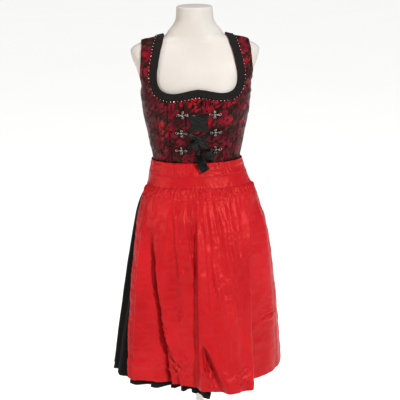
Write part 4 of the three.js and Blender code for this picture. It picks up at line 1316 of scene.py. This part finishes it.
# Lacing on the bodice: each crossing has its upper and lower height, and its greatest width

lacing = {
    "least": 9, "ringX": 32.4, "crease": 1.6, "bowHeight": 1056, "bowLift": 5.3, "knot": (7, 4.5),
    "leftLoop": (9, 14), "rightLoop": (12, 12), "end": (16, 12),
    "crossings": {"upper": (1175, 1119, 33), "lower": (1114, 1064, 21)},
}
laceBow = {"slot": "ribbon", "rests": ["ribbon_knot"], "columns": 14, "thick": 0.7}


# A length of lacing that lies on the bodice between two rings, bunched at both ends
def addLaid(node, side, high, low, lift, most):
    s, t = grid(60, 18)
    x1, x2 = side * lacing["ringX"], -side * lacing["ringX"]
    ahead = unit(np.array((x2 - x1, low - high), float))
    opened = ease(0, 0.3, t) * (1 - ease(0.7, 1, t))
    spread = (s - 0.5) * mix(lacing["least"], most, opened)
    x = mix(x1, x2, t) - ahead[1] * spread
    z = mix(high, low, t) + ahead[0] * spread
    points, normal = onForm(faced(x, z, -1))
    crease = lacing["crease"] * np.abs(np.sin(s * 9 + 1.3 * np.sin(6 * t))) * (1 - np.abs(2 * s - 1) ** 4)
    outer = raised(points, normal, faceLift + lift + 0.6 + crease)
    inner = raised(points, normal, faceLift + lift + 0.8 * crease)
    addCloth(node, outer, inner, "ribbon")


def addLacing():
    for place, (high, low, most) in lacing["crossings"].items():
        addLaid(f"ribbon_cross_{place}_under", 1, high, low, 0.8, most)
        addLaid(f"ribbon_cross_{place}_over", -1, high, low, 2.4, most)
    bow = lifted(faced(0, lacing["bowHeight"], -1), faceLift + lacing["bowLift"])
    rings = [(-8, 0.65), (-5, 1), (0, 0.85), (5, 1), (8, 0.65)]
    addKnot("ribbon_knot", bow, rings, *lacing["knot"], "ribbon", 20, 36, 3)
    leastEnd, moreEnd = lacing["end"]

    # A loop runs out from the knot and back in front of itself; each place is how far out and how lifted
    def looped(ahead, lean, places):
        return [bow + np.array((out * ahead[0], out * lean - lift, out * ahead[1])) for out, lift in places]

    addRibbon(
        "ribbon_loop_left",
        looped((-0.46, 0.88), -0.14, [(9.5, 0.2), (20, 1), (33, 1), (42, 4.5), (36, 9), (22, 8.5), (8, 3.9)]),
        loopWidth(*lacing["leftLoop"]), (0.88, 0, 0.46), steps=70, crease=1.1, **laceBow)
    addRibbon(
        "ribbon_loop_right",
        looped((0.96, -0.28), 0.01, [(8.6, 0), (22, 2.5), (42, 0.5), (53, 4), (43, 8.5), (24, 8.5), (9, 5)]),
        loopWidth(*lacing["rightLoop"]), (0.28, 0, 0.96), steps=70, crease=1.1, **laceBow)
    addRibbon(
        "ribbon_end",
        [bow + np.array(place) for place in ((0, -1, -9.3), (3, -7, -22), (10, -10, -38), (20, -12, -56))],
        lambda t: leastEnd + moreEnd * ease(0, 0.4, t), (1, -0.15, 0.1), steps=60, crease=1.0, **laceBow)


addLacing()
print("ribbons made")


# Lacing hooks: a cast plate with a ring for the ribbon, two scrolls and a leaf, with rounded relief on it


def arc(x, y, radius, start, end, count=14):
    return [(x + radius * math.cos(a), y + radius * math.sin(a)) for a in np.linspace(start, end, count)]


def hookOutline():
    lower = [(-3, -3)] + arc(0, -8.5, 4.2, 2.2, 0.6 + 1.5 * math.pi) + [(6, -3.5)]
    leaf = [(mix(mix(6, 14, t), mix(14, 20, t), t), mix(mix(-3.5, -6, t), mix(-6, 0, t), t))
            for t in np.linspace(0, 1, 10)[1:]]
    ring = arc(hook["ringAt"], 0, hook["ring"], 0.4, fullTurn - 0.4, 22)
    return ring + lower + leaf + [(x, -y) for x, y in (lower + leaf)[-2::-1]]


def hookPlate():
    bevel = hook["bevel"]
    curve = bpy.data.curves.new("hook-plate", "CURVE")
    curve.dimensions = "2D"
    curve.fill_mode = "BOTH"
    for outline in (hookOutline(), arc(hook["ringAt"], 0, hook["hole"], 0, fullTurn, 19)[:-1]):
        spline = curve.splines.new("POLY")
        spline.points.add(len(outline) - 1)
        for point, (x, y) in zip(spline.points, outline):
            point.co = (x * mm, y * mm, 0, 1)
        spline.use_cyclic_u = True
    curve.bevel_depth = bevel * mm
    curve.bevel_resolution = 2
    curve.offset = -bevel * mm
    curve.extrude = (hook["thick"] / 2 - bevel) * mm
    source = bpy.data.objects.new("hook-plate", curve)
    mesh = bpy.data.meshes.new_from_object(source)
    points = [np.array(vertex.co) / mm for vertex in mesh.vertices]
    faces = [list(polygon.vertices) for polygon in mesh.polygons]
    bpy.data.objects.remove(source)
    return np.array(points), faces


# Raised wires on the plate: a ring, two scrolls and a leaf, with small balls between them
def hookScrolls():
    top = hook["thick"] / 2
    t = np.linspace(0, fullTurn, 30, endpoint=False)
    rings = [(hook["ringAt"], 0, 3.3), (0, 8.3, 3.0), (0, -8.3, 3.0), (1, 0, 3.2)]
    lines = [np.stack((x + r * np.cos(t), y + r * np.sin(t), 0 * t + top), axis=-1) for x, y, r in rings]
    leaf = np.stack((12.5 - 6.8 * np.cos(t), 4.2 * np.sin(t) * np.sin(t / 2) ** 1.5, 0 * t + top), axis=-1)
    parts = [wire(line, hook["wire"]) for line in lines + [leaf]]
    small, smallFaces = ball(6, 12)
    for x, y, r in ((1, 0, 1.7), (0, 8.3, 1.2), (0, -8.3, 1.2), (-6.5, 0, 1.5), (12.5, 0, 1.4)):
        parts.append((small * r + np.array((x, y, top)), smallFaces))
    points, faces = [], []
    for part, partFaces in parts:
        start = sum(len(p) for p in points)
        points.append(part)
        faces += [[corner + start for corner in face] for face in partFaces]
    return np.concatenate(points), faces


def addHooks():
    plate, plateFaces = hookPlate()
    scrolls, scrollFaces = hookScrolls()
    for row, height in enumerate(hook["heights"]):
        for label, side in (("left", -1), ("right", 1)):
            point, normal = onForm(faced(side * hook["x"], height, -1))
            across = unit(np.array((side, 0, 0)) - normal * side * normal[0])
            turn = np.stack((across, np.cross(normal, across), normal))
            middle = raised(point, normal, faceLift + hook["lift"] + hook["thick"] / 2)
            node = f"hook_{row + 1}_{label}"
            name = pieceName(node)
            addPiece(name, plate @ turn + middle, plateFaces, "hooks", node, sharp=50)
            relief = scrolls @ turn + middle
            addPiece(name + "-scrolls", relief, scrollFaces, "hooks", material=rubbedSilver)


addHooks()
print("hooks made")


# Floor and soft studio light, in metres

studio = {"floorHalf": 190, "world": 0.12, "exposure": 0.24, "gamma": 0.88, "aim": (0, 0, 0.85)}
lights = {
    "key": {"kind": "AREA", "place": (1.9, -3.2, 2.7), "size": 0.4, "energy": 128, "tone": "#fffdfa"},
    "side": {"kind": "AREA", "place": (-3.2, -1.2, 2.1), "size": 0.9, "energy": 50, "tone": "#fff1e2"},
    "overhead": {
        "kind": "SUN", "place": (0, 0.001, 4), "size": 30 * degree, "energy": 2.35, "tone": "#ffffff",
    },
}


def addFloor():
    m = startMaterial("pale matt studio floor", Roughness=0.9)
    spot = addNode(m, "TexCoord", output=3)
    cloud = addNode(m, "TexNoise", {"Vector": spot, "Scale": 0.7, "Detail": 2.0})
    finishMaterial(m, Base_Color=addNode(m, "ValToRGB", [cloud], [(0.3, "#fafaf9"), (0.7, "#fbfbfa")]))
    size = studio["floorHalf"]
    corners = [(-size, -size, 0), (size, -size, 0), (size, size, 0), (-size, size, 0)]
    mesh = bpy.data.meshes.new("floor")
    mesh.from_pydata(corners, [], [(0, 1, 2, 3)])
    mesh.materials.append(m)
    addObject("floor", mesh)


def addLights():
    for name, light in lights.items():
        lamp = bpy.data.lights.new(name, light["kind"])
        lamp.energy = light["energy"]
        lamp.color = colour(light["tone"])[:3]
        if light["kind"] == "AREA":
            lamp.shape = "DISK"
            lamp.size = light["size"]
        else:
            lamp.angle = light["size"]
        holder = addObject(name, lamp)
        holder.location = light["place"]
        aim = Vector(studio["aim"]) - Vector(light["place"])
        holder.rotation_euler = aim.to_track_quat("-Z", "Y").to_euler()
    world = bpy.data.worlds.new("studio")
    world.use_nodes = True
    background = world.node_tree.nodes["Background"].inputs
    background[0].default_value = colour("#ffffff")
    background[1].default_value = studio["world"]
    bpy.context.scene.world = world
    look = bpy.context.scene.view_settings
    look.view_transform = "Standard"
    look.exposure = studio["exposure"]
    look.gamma = studio["gamma"]


addFloor()
addLights()
print("floor and lights placed")
